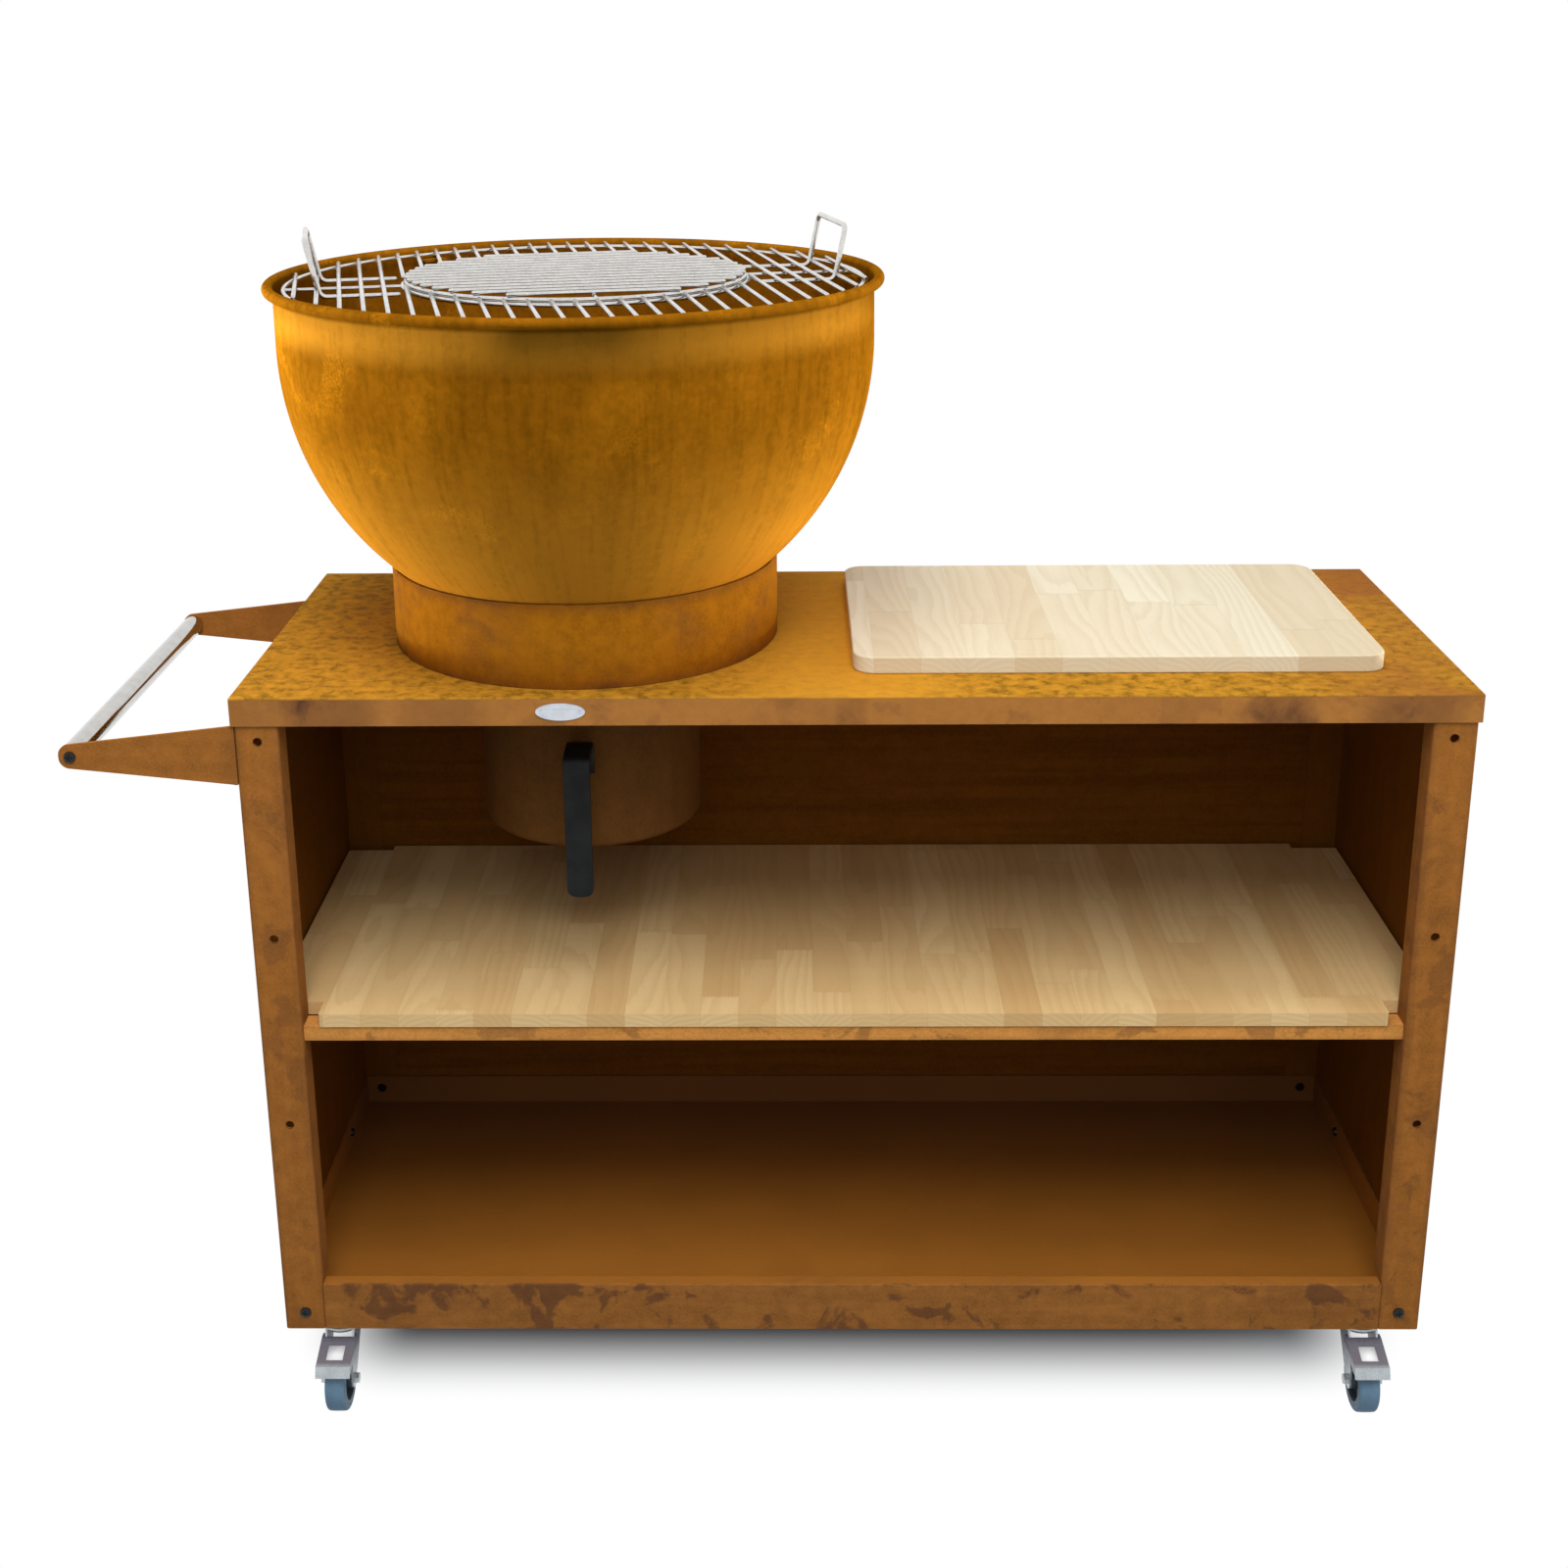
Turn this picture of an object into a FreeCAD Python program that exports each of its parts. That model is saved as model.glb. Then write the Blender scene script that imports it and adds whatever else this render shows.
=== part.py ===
"""Outdoor kitchen trolley of rust-patina sheet steel, in millimetres.

A folded cabinet on four swivel casters carries a worktop with a round collar. A deep fire bowl sits loose
in the collar with a two-part wire grate. Below the worktop hang an ash bucket on slide rails and a wooden
shelf. A loose cutting board lies on the worktop, and a push handle stands out on the left. +Z is up, the
front faces -Y, and the origin lies on the floor below the middle of the overall box.
"""
import FreeCAD, Part
import Sketcher
import math
import os
import re

DOC = FreeCAD.newDocument("outdoor_kitchen")
NODES = []

UP = FreeCAD.Vector(0, 0, 1)
RIGHT = FreeCAD.Vector(1, 0, 0)
LEFT = FreeCAD.Vector(-1, 0, 0)
BACK = FreeCAD.Vector(0, 1, 0)
FRONT = FreeCAD.Vector(0, -1, 0)

# Driving sizes, each with what it measures; lengths in millimetres, angles in degrees
SIZES = {
    "worktop_length": (1350, "worktop, left to right"),
    "worktop_depth": (500, "worktop, front to back"),
    "worktop_apron": (32, "height of the worktop's folded edge"),
    "worktop_sheet": (2.5, "worktop sheet thickness"),
    "worktop_overhang": (3, "worktop edge beyond the posts' faces"),
    "fold_radius": (2, "outer radius of the worktop's folds"),
    "cabinet_height": (796, "posts' lower end to worktop top"),
    "caster_height": (108, "floor to posts' lower end"),
    "post_flange": (48, "width of a post's front or rear wall"),
    "post_return": (34, "depth of a post's side wall"),
    "post_sheet": (2, "post sheet thickness"),
    "post_bend": (4, "outer bend radius of a front post"),
    "post_hole_radius": (4.75, "radius of the free holes in the front posts"),
    "post_hole_inset": (25, "hole centre from the post's outer face"),
    "post_hole_top": (51, "top hole below the worktop's top"),
    "post_hole_pitch": (235, "step from hole to hole"),
    "post_screw_rise": (23, "post screw above the post's lower end"),
    "foot_length": (92, "foot plate, left to right"),
    "foot_width": (67, "foot plate, front to back"),
    "foot_sheet": (4, "foot plate thickness"),
    "panel_sheet": (1.5, "side and back panel thickness"),
    "tray_apron": (60, "height of the tray's front apron"),
    "tray_rise": (20, "tray floor above the posts' lower end"),
    "tray_return": (18, "depth of the apron's folded top"),
    "tray_sheet": (2, "tray sheet thickness"),
    "tray_tab": (18, "overlap of a tray tab behind the apron"),
    "tray_bolt_rise": (22, "tray bolts above the tray floor"),
    "side_bolt_back": (120, "side-lip bolts in front of the rear lip"),
    "shelf_drop": (383, "worktop top to shelf top"),
    "shelf_thickness": (16, "shelf board thickness"),
    "shelf_inset": (6, "shelf front edge behind the posts' faces"),
    "shelf_gap": (18, "shelf tongue to post, each side"),
    "shelf_clear": (3, "shelf to panel and post, each side"),
    "shelf_notch_rear": (15, "depth of the rear notches"),
    "shelf_round": (2, "corner radius of the shelf board"),
    "rail_height": (18, "height of a shelf rail"),
    "rail_depth": (26, "depth of a shelf rail's top"),
    "rail_sheet": (2, "shelf rail sheet thickness"),
    "rail_inset": (8, "front rail behind the posts' faces"),
    "bowl_offset": (308, "bowl axis left of the cabinet's middle"),
    "collar_radius": (225, "outer radius of the collar"),
    "collar_wall": (3, "collar wall"),
    "collar_height": (96, "collar above the worktop"),
    "bowl_radius": (337, "outer radius of the bowl"),
    "bowl_wall": (3, "bowl wall"),
    "bowl_straight": (66, "straight wall above the bowl's round part"),
    "rim_roll_radius": (6, "radius of the rolled rim"),
    "rim_bite": (1, "rolled rim sunk into the wall"),
    "seat_clearance": (0.3, "gap between loose pieces and their seats"),
    "chute_radius": (60, "outer radius of the ash chute"),
    "chute_wall": (2, "chute wall"),
    "chute_gap": (5, "chute to the hole in the worktop"),
    "chute_clear": (2.5, "chute above the bucket's rim"),
    "fire_grate_radius": (150, "radius of the fire grate"),
    "fire_grate_frame": (12, "width of the fire grate's frame ring"),
    "fire_grate_height": (8, "thickness of the fire grate"),
    "fire_bar_width": (8, "width of a fire grate bar"),
    "fire_bar_pitch": (24, "step of the fire grate bars"),
    "lug_width": (30, "width of a grate lug in the bowl"),
    "lug_height": (40, "height of a grate lug"),
    "lug_depth": (26, "depth of a grate lug"),
    "lug_sheet": (3, "grate lug thickness"),
    "lug_angle": (130, "direction of the first grate lug"),
    "grate_drop": (2, "top of the main bars below the rim's top"),
    "grate_angle": (12, "turn of the grates in the bowl"),
    "grate_inset": (9, "middle of the main grate's ring to the bowl's wall"),
    "opening_radius": (194, "middle radius of the opening's ring"),
    "centre_ring_radius": (190, "middle radius of the centre grate's ring"),
    "ring_wire": (3, "radius of the ring wire"),
    "bar_wire": (2.5, "radius of the bar wire"),
    "bar_pitch": (24, "step of the grate bars"),
    "bar_overhang": (2, "bar ends beyond the middle of their ring"),
    "weld_sink": (0.4, "depth of the welds between wires"),
    "lift_width": (132, "width of a lifting handle"),
    "lift_height": (60, "height of a lifting handle"),
    "lift_angle": (12, "outward lean of a lifting handle"),
    "lift_inset": (41, "lifting handle inside the main grate's ring"),
    "lift_start": (4, "lifting handle's feet outside the opening's ring"),
    "lift_bend": (9, "bend radius of a lifting handle"),
    "bucket_radius": (130, "outer radius of the ash bucket"),
    "bucket_height": (190, "height of the ash bucket"),
    "bucket_wall": (1.5, "bucket wall"),
    "bucket_rim": (15, "width of the bucket's rim"),
    "bucket_rim_sheet": (2, "thickness of the bucket's rim"),
    "bucket_rim_drop": (38, "bucket rim below the worktop's top"),
    "slide_sheet": (2, "bucket rail thickness"),
    "slide_ledge": (12, "ledge of a bucket rail"),
    "slide_gap": (1, "bucket rim to rail, each side"),
    "slide_length": (370, "length of a bucket rail"),
    "slide_inset": (32, "bucket rail behind the posts' faces"),
    "grip_width": (30, "width of the bucket's grip"),
    "grip_sheet": (6, "thickness of the grip"),
    "grip_reach": (60, "front of the grip before the bucket's wall"),
    "grip_drop": (54, "top of the grip below the bucket's rim"),
    "grip_length": (170, "height of the grip"),
    "grip_foot": (34, "height of the grip's fixing foot"),
    "grip_round": (5.5, "bend radius of the grip"),
    "board_length": (590, "cutting board, left to right"),
    "board_width": (378, "cutting board, front to back"),
    "board_thickness": (20, "cutting board thickness"),
    "board_corner": (25, "corner radius of the cutting board"),
    "board_edge": (2, "edge radius of the cutting board"),
    "board_x": (297, "cutting board right of the cabinet's middle"),
    "board_y": (14, "cutting board behind the cabinet's middle"),
    "badge_length": (54, "badge plate, left to right"),
    "badge_height": (20, "badge plate height"),
    "badge_sheet": (1.5, "badge plate thickness"),
    "badge_shift": (8, "badge plate left of the bowl's axis"),
    "badge_rivet_step": (21, "rivet from the badge's middle"),
    "rivet_radius": (1.1, "rivet shank radius"),
    "rivet_head_radius": (1.8, "rivet head radius"),
    "rivet_head": (0.8, "rivet head height"),
    "tube_radius": (12.5, "outer radius of the push handle's tube"),
    "tube_wall": (1.5, "tube wall"),
    "tube_cap": (6, "thickness of the tube's end plugs"),
    "handle_offset": (178.5, "tube axis left of the worktop's edge"),
    "handle_drop": (67.5, "tube axis below the worktop's top"),
    "bracket_sheet": (4, "handle bracket thickness"),
    "bracket_root": (68, "height of a bracket at its root"),
    "bracket_gap": (1, "bracket below the worktop's apron"),
    "bracket_flange": (32, "depth of a bracket's fixing flange"),
    "bracket_round": (12, "radius of a bracket's tip"),
    "bracket_bolt_step": (18, "bracket bolts from the bracket's middle"),
    "screw_radius": (3, "screw shank radius"),
    "screw_gap": (0.2, "screw shank to hole"),
    "screw_head_radius": (6.5, "screw head radius"),
    "screw_crown_radius": (4.5, "radius of a screw head's crown"),
    "screw_head": (3.5, "screw head height"),
    "screw_grip": (4, "screw end beyond the sheet it holds"),
    "caster_inset": (63, "swivel axis from the worktop's end"),
    "caster_back": (38, "swivel axis from the post's face"),
    "plate_size": (60, "side of a caster's top plate"),
    "plate_sheet": (2.5, "top plate thickness"),
    "plate_bolt_step": (22.5, "caster bolt from the swivel axis, each way"),
    "bolt_head_radius": (5, "caster bolt head radius"),
    "bolt_head": (4, "caster bolt head height"),
    "race_radius": (22, "radius of the swivel race"),
    "race_height": (5.5, "height of the swivel race"),
    "kingpin_radius": (5, "kingpin radius"),
    "kingpin_head_radius": (8, "kingpin head radius"),
    "kingpin_head": (3, "kingpin head height"),
    "running_gap": (0.05, "radial play of pins and axles"),
    "crown_radius": (26, "radius of a fork's crown"),
    "crown_height": (5.7, "height of a fork's crown"),
    "fork_gap": (30, "inner width of a fork"),
    "fork_sheet": (2.5, "fork cheek thickness"),
    "fork_back": (16, "rear edge of a cheek behind the swivel axis"),
    "fork_front": (20, "front edge of a cheek before the swivel axis"),
    "fork_eye": (10, "radius of a cheek's axle eye"),
    "trail": (36, "axle before the swivel axis"),
    "wheel_radius": (37.5, "outer radius of a tyre"),
    "tyre_width": (24, "width of a tyre"),
    "tyre_height": (8, "thickness of a tyre"),
    "tyre_round": (3, "shoulder radius of a tyre"),
    "wheel_rim": (4, "thickness of a wheel centre's rim"),
    "wheel_web": (8, "thickness of a wheel centre's web"),
    "hub_radius": (11, "hub radius"),
    "axle_radius": (4, "axle radius"),
    "axle_head_radius": (6.5, "axle head and nut, corner radius"),
    "axle_head": (5, "axle head and nut height"),
    "pedal_sheet": (2.5, "brake pedal thickness"),
    "pedal_play": (0.5, "pedal side to fork cheek"),
    "pedal_pin_radius": (2.5, "pedal pin radius"),
    "pedal_pin_front": (22, "pedal pin before the swivel axis"),
    "pedal_pin_rise": (82, "pedal pin above the floor"),
    "pedal_start": (30, "rear edge of the pedal before the swivel axis"),
    "pedal_start_rise": (90, "rear edge of the pedal above the floor"),
    "pedal_fold": (70, "fold of the pedal before the swivel axis"),
    "pedal_fold_rise": (78, "fold of the pedal above the floor"),
    "pedal_tip": (76, "tip of the pedal before the swivel axis"),
    "pedal_tip_rise": (66, "tip of the pedal above the floor"),
    "pedal_window": (20, "side of the pedal's window"),
    "pedal_window_front": (41, "window's rear edge before the swivel axis"),
}

# Places worked out from the driving sizes
PLACES = {
    "cabinet_x": "(handle_offset + tube_radius) / 2",
    "worktop_top": "caster_height + cabinet_height",
    "worktop_under": "worktop_top - worktop_sheet",
    "apron_bottom": "worktop_top - worktop_apron",
    "half_length": "worktop_length / 2 - worktop_overhang",
    "left_face": "cabinet_x - half_length",
    "right_face": "cabinet_x + half_length",
    "front_face": "worktop_overhang - worktop_depth / 2",
    "rear_face": "worktop_depth / 2 - worktop_overhang",
    "post_length": "worktop_under - caster_height",
    "rear_wall": "rear_face - panel_sheet - post_sheet",
    "panel_bottom": "caster_height + foot_sheet",
    "side_skin": "post_sheet + panel_sheet",
    "tray_top": "caster_height + tray_apron",
    "tray_floor": "caster_height + tray_rise",
    "shelf_top": "worktop_top - shelf_drop",
    "shelf_under": "shelf_top - shelf_thickness",
    "bowl_x": "cabinet_x - bowl_offset",
    "collar_top": "worktop_top + collar_height",
    "collar_bore": "collar_radius - collar_wall",
    "bowl_middle": "collar_top + sqrt((bowl_radius + seat_clearance)^2 - collar_bore^2)",
    "bowl_bore": "bowl_radius - bowl_wall",
    "rim_middle": "bowl_middle + bowl_straight",
    "rim_radius": "bowl_radius + rim_roll_radius - rim_bite",
    "fire_grate_z": "bowl_middle - sqrt((bowl_bore - seat_clearance)^2 - fire_grate_radius^2)",
    "grate_ring_radius": "bowl_bore - grate_inset",
    "lift_reach": "grate_ring_radius - lift_inset",
    "lift_foot": "opening_radius + lift_start",
    "bar_level": "rim_middle + rim_roll_radius - grate_drop - bar_wire",
    "ring_level": "bar_level - bar_wire - ring_wire + weld_sink",
    "lug_face": "sqrt(bowl_bore^2 - (lug_width / 2)^2)",
    "lug_top": "ring_level - ring_wire - seat_clearance",
    "centre_level": "ring_level + sqrt((2 * ring_wire + seat_clearance)^2"
                    " - (opening_radius - centre_ring_radius)^2)",
    "centre_bar_level": "centre_level + ring_wire + bar_wire - weld_sink",
    "cross_level": "centre_bar_level - 2 * bar_wire + weld_sink",
    "bucket_top": "worktop_top - bucket_rim_drop",
    "bucket_bottom": "bucket_top - bucket_height",
    "slide_web": "bucket_radius + bucket_rim + slide_gap",
    "slide_seat": "bucket_top - bucket_rim_sheet - seat_clearance",
    "chute_bottom": "bucket_top + chute_clear",
    "chute_top": "bowl_middle - sqrt(bowl_bore^2 - chute_radius^2)",
    "grip_top": "bucket_top - grip_drop",
    "tube_x": "cabinet_x - worktop_length / 2 - handle_offset",
    "tube_z": "worktop_top - handle_drop",
    "bracket_top": "apron_bottom - bracket_gap",
    "bracket_middle": "bracket_top - bracket_root / 2",
    "plate_bottom": "caster_height - plate_sheet",
    "race_bottom": "plate_bottom - race_height",
    "crown_top": "race_bottom - seat_clearance",
    "crown_bottom": "crown_top - crown_height",
    "caster_x": "worktop_length / 2 - caster_inset",
    "caster_y": "rear_face - caster_back",
    "rim_bed": "wheel_radius - tyre_height",
    "pedal_side": "fork_gap / 2 + fork_sheet + pedal_play",
}

WORD = re.compile(r"[A-Za-z_][A-Za-z_0-9]*")


def bound(text):
    """The expression with each named size or place read from its sheet."""
    def from_sheet(match):
        word = match.group(0)
        if word in SIZES:
            return "Sizes." + word
        if word in PLACES:
            return "Places." + word
        return word
    return WORD.sub(from_sheet, str(text))


def make_sheets():
    """The sheet of driving sizes and the sheet of places that follow from them."""
    sizes = DOC.addObject("Spreadsheet::Sheet", "Sizes")
    for row, (word, (value, meaning)) in enumerate(SIZES.items(), start=1):
        sizes.set(f"A{row}", meaning)
        sizes.set(f"B{row}", str(value))
        sizes.setAlias(f"B{row}", word)
    DOC.recompute()
    places = DOC.addObject("Spreadsheet::Sheet", "Places")
    for row, (word, formula) in enumerate(PLACES.items(), start=1):
        places.set(f"A{row}", word.replace("_", " "))
        places.setAlias(f"B{row}", word)
        places.set(f"B{row}", "=" + bound(formula))
    DOC.recompute()


def number(word):
    """The present value of a named size or place."""
    sheet = DOC.Sizes if word in SIZES else DOC.Places
    return float(sheet.get(word))


def place(obj, x, y, z):
    """Tie an object's position to three expressions."""
    for axis, text in zip("xyz", (x, y, z)):
        obj.setExpression(f"Placement.Base.{axis}", bound(text))
    return obj


def primitive(kind, sizes, x, y, z, along=UP):
    """A Part primitive with its sizes and position tied to expressions, its own Z turned to a direction."""
    obj = DOC.addObject("Part::" + kind, kind)
    obj.Placement = FreeCAD.Placement(FreeCAD.Vector(), FreeCAD.Rotation(UP, along))
    for name, text in sizes.items():
        obj.setExpression(name, bound(text))
    return place(obj, x, y, z)


def box(length, width, height, x, y, z):
    """A block from its low corner."""
    return primitive("Box", {"Length": length, "Width": width, "Height": height}, x, y, z)


def rod(radius, height, x, y, z, along=UP):
    """A cylinder from the middle of its first end."""
    return primitive("Cylinder", {"Radius": radius, "Height": height}, x, y, z, along)


def ring(middle_radius, wire_radius, x, y, z):
    """A closed ring of round wire, lying flat."""
    return primitive("Torus", {"Radius1": middle_radius, "Radius2": wire_radius}, x, y, z)


def lower_ball(radius, x, y, z):
    """The lower half of a ball."""
    half = primitive("Sphere", {"Radius": radius}, x, y, z)
    half.Angle1 = -90
    half.Angle2 = 0
    return half


def fuse(*shapes):
    """Pieces welded or folded from one sheet, as one solid."""
    joined = DOC.addObject("Part::MultiFuse", "Fuse")
    joined.Shapes = list(shapes)
    joined.Refine = True
    return joined


def cut(base, *tools):
    """The base with each tool taken away in turn."""
    for tool in tools:
        rest = DOC.addObject("Part::Cut", "Cut")
        rest.Base = base
        rest.Tool = tool
        rest.Refine = True
        base = rest
    return base


def group(*shapes):
    """Separate solids that share one node."""
    held = DOC.addObject("Part::Compound", "Group")
    held.Links = list(shapes)
    return held


def node(label, obj):
    """Name a finished sub-part and keep it for export."""
    obj.Label = label
    NODES.append(obj)
    return obj


def rounded(base, radius, chosen):
    """The base with the edges that pass the test rounded."""
    DOC.recompute()
    soft = DOC.addObject("Part::Fillet", "Fillet")
    soft.Base = base
    edges = enumerate(base.Shape.Edges, start=1)
    soft.Edges = [(index, radius, radius) for index, edge in edges if chosen(edge)]
    return soft


def is_upright(edge):
    """True for a straight vertical edge."""
    line = edge.Vertexes[-1].Point - edge.Vertexes[0].Point
    return line.Length > 0 and abs(line.z) > 0.999 * line.Length


def origin_plane(body, role):
    """One of a body's own origin planes."""
    return next(feature for feature in body.Origin.OriginFeatures if feature.Role == role)


def outline(body, role, points):
    """A closed sketch of straight lines, each corner tied to its two expressions."""
    sketch = body.newObject("Sketcher::SketchObject", "Outline")
    sketch.AttachmentSupport = [(origin_plane(body, role), "")]
    sketch.MapMode = "FlatFace"
    count = len(points)
    turns = [2 * math.pi * index / count for index in range(count)]
    start = [FreeCAD.Vector(math.cos(turn), math.sin(turn), 0) for turn in turns]
    for index in range(count):
        sketch.addGeometry(Part.LineSegment(start[index], start[(index + 1) % count]))
    for index in range(count):
        sketch.addConstraint(Sketcher.Constraint("Coincident", index, 2, (index + 1) % count, 1))
    for index, corner in enumerate(points):
        for kind, value, text in zip(("DistanceX", "DistanceY"), start[index], corner):
            row = sketch.addConstraint(Sketcher.Constraint(kind, -1, 1, index, 1, value))
            sketch.setExpression(f"Constraints[{row}]", bound(text))
    return sketch


def plate(role, points, thickness, x="0", y="0", z="0", rounds=None):
    """A flat plate padded from an outline; rounds maps a radius to the numbers of its rounded corners."""
    body = DOC.addObject("PartDesign::Body", "Plate")
    sketch = outline(body, role, points)
    pad = body.newObject("PartDesign::Pad", "Pad")
    pad.Profile = sketch
    pad.setExpression("Length", bound(thickness))
    DOC.recompute()
    for radius, corners in (rounds or {}).items():
        base = body.Tip
        spots = [sketch.Placement.multVec(sketch.Geometry[corner].StartPoint) for corner in corners]
        names = [f"Edge{index}" for index, edge in enumerate(base.Shape.Edges, start=1)
                 if any(stands_on(edge, spot, sketch) for spot in spots)]
        soft = body.newObject("PartDesign::Fillet", "Round")
        soft.Base = (base, names)
        soft.setExpression("Radius", bound(radius))
        DOC.recompute()
    return place(body, x, y, z)


def stands_on(edge, spot, sketch):
    """True for an edge across the plate that starts at a corner of its outline."""
    ends = [vertex.Point for vertex in edge.Vertexes]
    across = sketch.Placement.Rotation.multVec(UP)
    straight = len(ends) == 2 and (ends[1] - ends[0]).cross(across).Length < 1e-6
    return straight and min((end - spot).Length for end in ends) < 1e-6


def screw(x, y, z, along, shank):
    """A screw with a crowned head; it points along a direction, and its head sits on the start point."""
    head = primitive("Cone", {"Radius1": "screw_head_radius", "Radius2": "screw_crown_radius",
                              "Height": "screw_head"}, x, y, z, -along)
    return fuse(head, rod("screw_radius", shank, x, y, z, along))


def screw_hole(x, y, z, along, depth):
    """The clearance hole of a screw."""
    return rod("screw_radius + screw_gap", depth, x, y, z, along)


def make_worktop():
    """Folded lid with an apron all round, and a hole for the ash chute."""
    lid = box("worktop_length", "worktop_depth", "worktop_apron",
              "cabinet_x - worktop_length / 2", "-worktop_depth / 2", "apron_bottom")
    top = number("worktop_top")
    lid = rounded(lid, number("fold_radius"),
                  lambda edge: is_upright(edge) or abs(edge.CenterOfMass.z - top) < 1e-6)
    hollow = box("worktop_length - 2 * worktop_sheet", "worktop_depth - 2 * worktop_sheet",
                 "worktop_apron - worktop_sheet", "cabinet_x - worktop_length / 2 + worktop_sheet",
                 "worktop_sheet - worktop_depth / 2", "apron_bottom")
    hole = rod("chute_radius + chute_gap", "2 * worktop_sheet", "bowl_x", "0",
               "worktop_under - worktop_sheet")
    rivets = [rivet_hole(side) for side in (-1, 1)]
    node("worktop", cut(lid, hollow, hole, *rivets))


def rivet_hole(side):
    """Hole for a badge rivet through badge and apron."""
    return rod("rivet_radius + running_gap", "2 * (badge_sheet + worktop_sheet)",
               f"bowl_x - badge_shift + {side} * badge_rivet_step",
               "-worktop_depth / 2 - 2 * badge_sheet", "worktop_top - worktop_apron / 2", BACK)


def foot_plate(side_x, front):
    """Plate at a post's lower end that takes the caster."""
    x = "left_face" if side_x < 0 else "right_face - foot_length - post_sheet"
    y = "front_face + post_sheet + tray_sheet" if front else "rear_wall - foot_width"
    return box("foot_length + post_sheet", "foot_width", "foot_sheet", x, y, "caster_height")


def foot_bolt_holes(side_x, side_y):
    """The four caster bolt holes of a corner."""
    return [screw_hole(f"cabinet_x + {side_x} * caster_x + {step_x} * plate_bolt_step",
                       f"{side_y} * caster_y + {step_y} * plate_bolt_step",
                       "caster_height - 2 * foot_sheet", UP, "4 * foot_sheet")
            for step_x in (-1, 1) for step_y in (-1, 1)]


def bracket_bolt_holes(y):
    """Holes for a handle bracket's bolts through bracket flange, post and side panel."""
    return [screw_hole("left_face - 2 * bracket_sheet", y, f"bracket_middle + {step} * bracket_bolt_step",
                       RIGHT, "2 * bracket_sheet + 4 * post_sheet")
            for step in (-1, 1)]


def make_front_post(label, side):
    """Folded channel, open to the back, with a row of free holes and a foot plate."""
    edge = "left_face" if side < 0 else "right_face - post_flange"
    inner = "left_face + post_flange - post_bend" if side < 0 else "right_face - post_flange"
    hole_x = f"cabinet_x + {side} * (half_length - post_hole_inset)"
    front = number("front_face")

    def at_front(low):
        return lambda bend: is_upright(bend) and abs(bend.CenterOfMass.y - low) < 1e-6

    channel = box("post_flange", "post_return", "post_length", edge, "front_face", "caster_height")
    channel = rounded(channel, number("post_bend"), at_front(front))
    hollow = box("post_flange - 2 * post_sheet", "post_return", "post_length",
                 f"{edge} + post_sheet", "front_face + post_sheet", "caster_height")
    sheet = number("post_sheet")
    hollow = rounded(hollow, number("post_bend") - sheet, at_front(front + sheet))
    notch = box("post_bend", "post_return", "tray_apron + shelf_clear",
                inner, "front_face + post_sheet", "caster_height")
    holes = [rod("post_hole_radius", "4 * post_sheet", hole_x, "front_face - post_sheet",
                 f"worktop_top - post_hole_top - {step} * post_hole_pitch", BACK) for step in range(3)]
    holes.append(screw_hole(hole_x, "front_face - post_sheet", "caster_height + post_screw_rise", BACK,
                            "4 * post_sheet"))
    holes.append(rail_screw_hole(side))
    if side < 0:
        holes += bracket_bolt_holes("front_face + post_return / 2")
    post = fuse(cut(channel, hollow, notch), foot_plate(side, True))
    node(label, cut(post, *holes, *foot_bolt_holes(side, -1)))


def make_rear_post(label, side):
    """Folded angle with a foot plate; the back panel lies behind its rear wall."""
    edge = "left_face" if side < 0 else "right_face - post_flange"
    wall = "left_face" if side < 0 else "right_face - post_sheet"
    hole_x = f"cabinet_x + {side} * (half_length - post_hole_inset)"
    web = box("post_sheet", "post_return", "post_length", wall, "rear_face - post_return", "caster_height")
    flange = box("post_flange", "post_sheet", "post_length", edge, "rear_wall", "caster_height")
    holes = [back_screw_hole(side, level) for level in BACK_SCREWS]
    holes.append(screw_hole(hole_x, "rear_wall - post_sheet", "shelf_under - rail_height / 2", BACK,
                            "4 * post_sheet"))
    holes.append(rear_tray_hole(side))
    if side < 0:
        holes += bracket_bolt_holes("rear_face - post_return / 2")
    post = fuse(web, flange, foot_plate(side, False))
    node(label, cut(post, *holes, *foot_bolt_holes(side, 1)))


# Heights of the back panel's screws, between the worktop and the shelf and between the shelf and the tray
BACK_SCREWS = ("(worktop_top + shelf_top) / 2", "(shelf_under + tray_top) / 2")


def back_screw_hole(side, level):
    """Hole for a back panel screw through post and panel."""
    return screw_hole(f"cabinet_x + {side} * (half_length - post_hole_inset)", "rear_wall - post_sheet",
                      level, BACK, "4 * post_sheet + panel_sheet")


def rail_screw_hole(side):
    """Hole for a shelf rail screw through post return and rail tab."""
    return screw_hole(f"cabinet_x + {side} * (half_length - post_flange) - 2 * rail_sheet",
                      "front_face + (rail_inset + post_return) / 2", "shelf_under - rail_height / 2", RIGHT,
                      "4 * rail_sheet")


def rear_tray_hole(side):
    """Hole for a tray bolt through the rear lip and the rear post."""
    return screw_hole(f"cabinet_x + {side} * (half_length - post_hole_inset)", "rear_wall - 2 * tray_sheet",
                      "tray_floor + tray_bolt_rise", BACK, "2 * tray_sheet + 2 * post_sheet")


def side_tray_hole(side):
    """Hole for a tray bolt through a side lip and its panel."""
    return screw_hole(f"cabinet_x + {side} * (half_length - side_skin) - 2 * tray_sheet",
                      "rear_wall - side_bolt_back", "tray_floor + tray_bolt_rise", RIGHT, "4 * tray_sheet")


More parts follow.
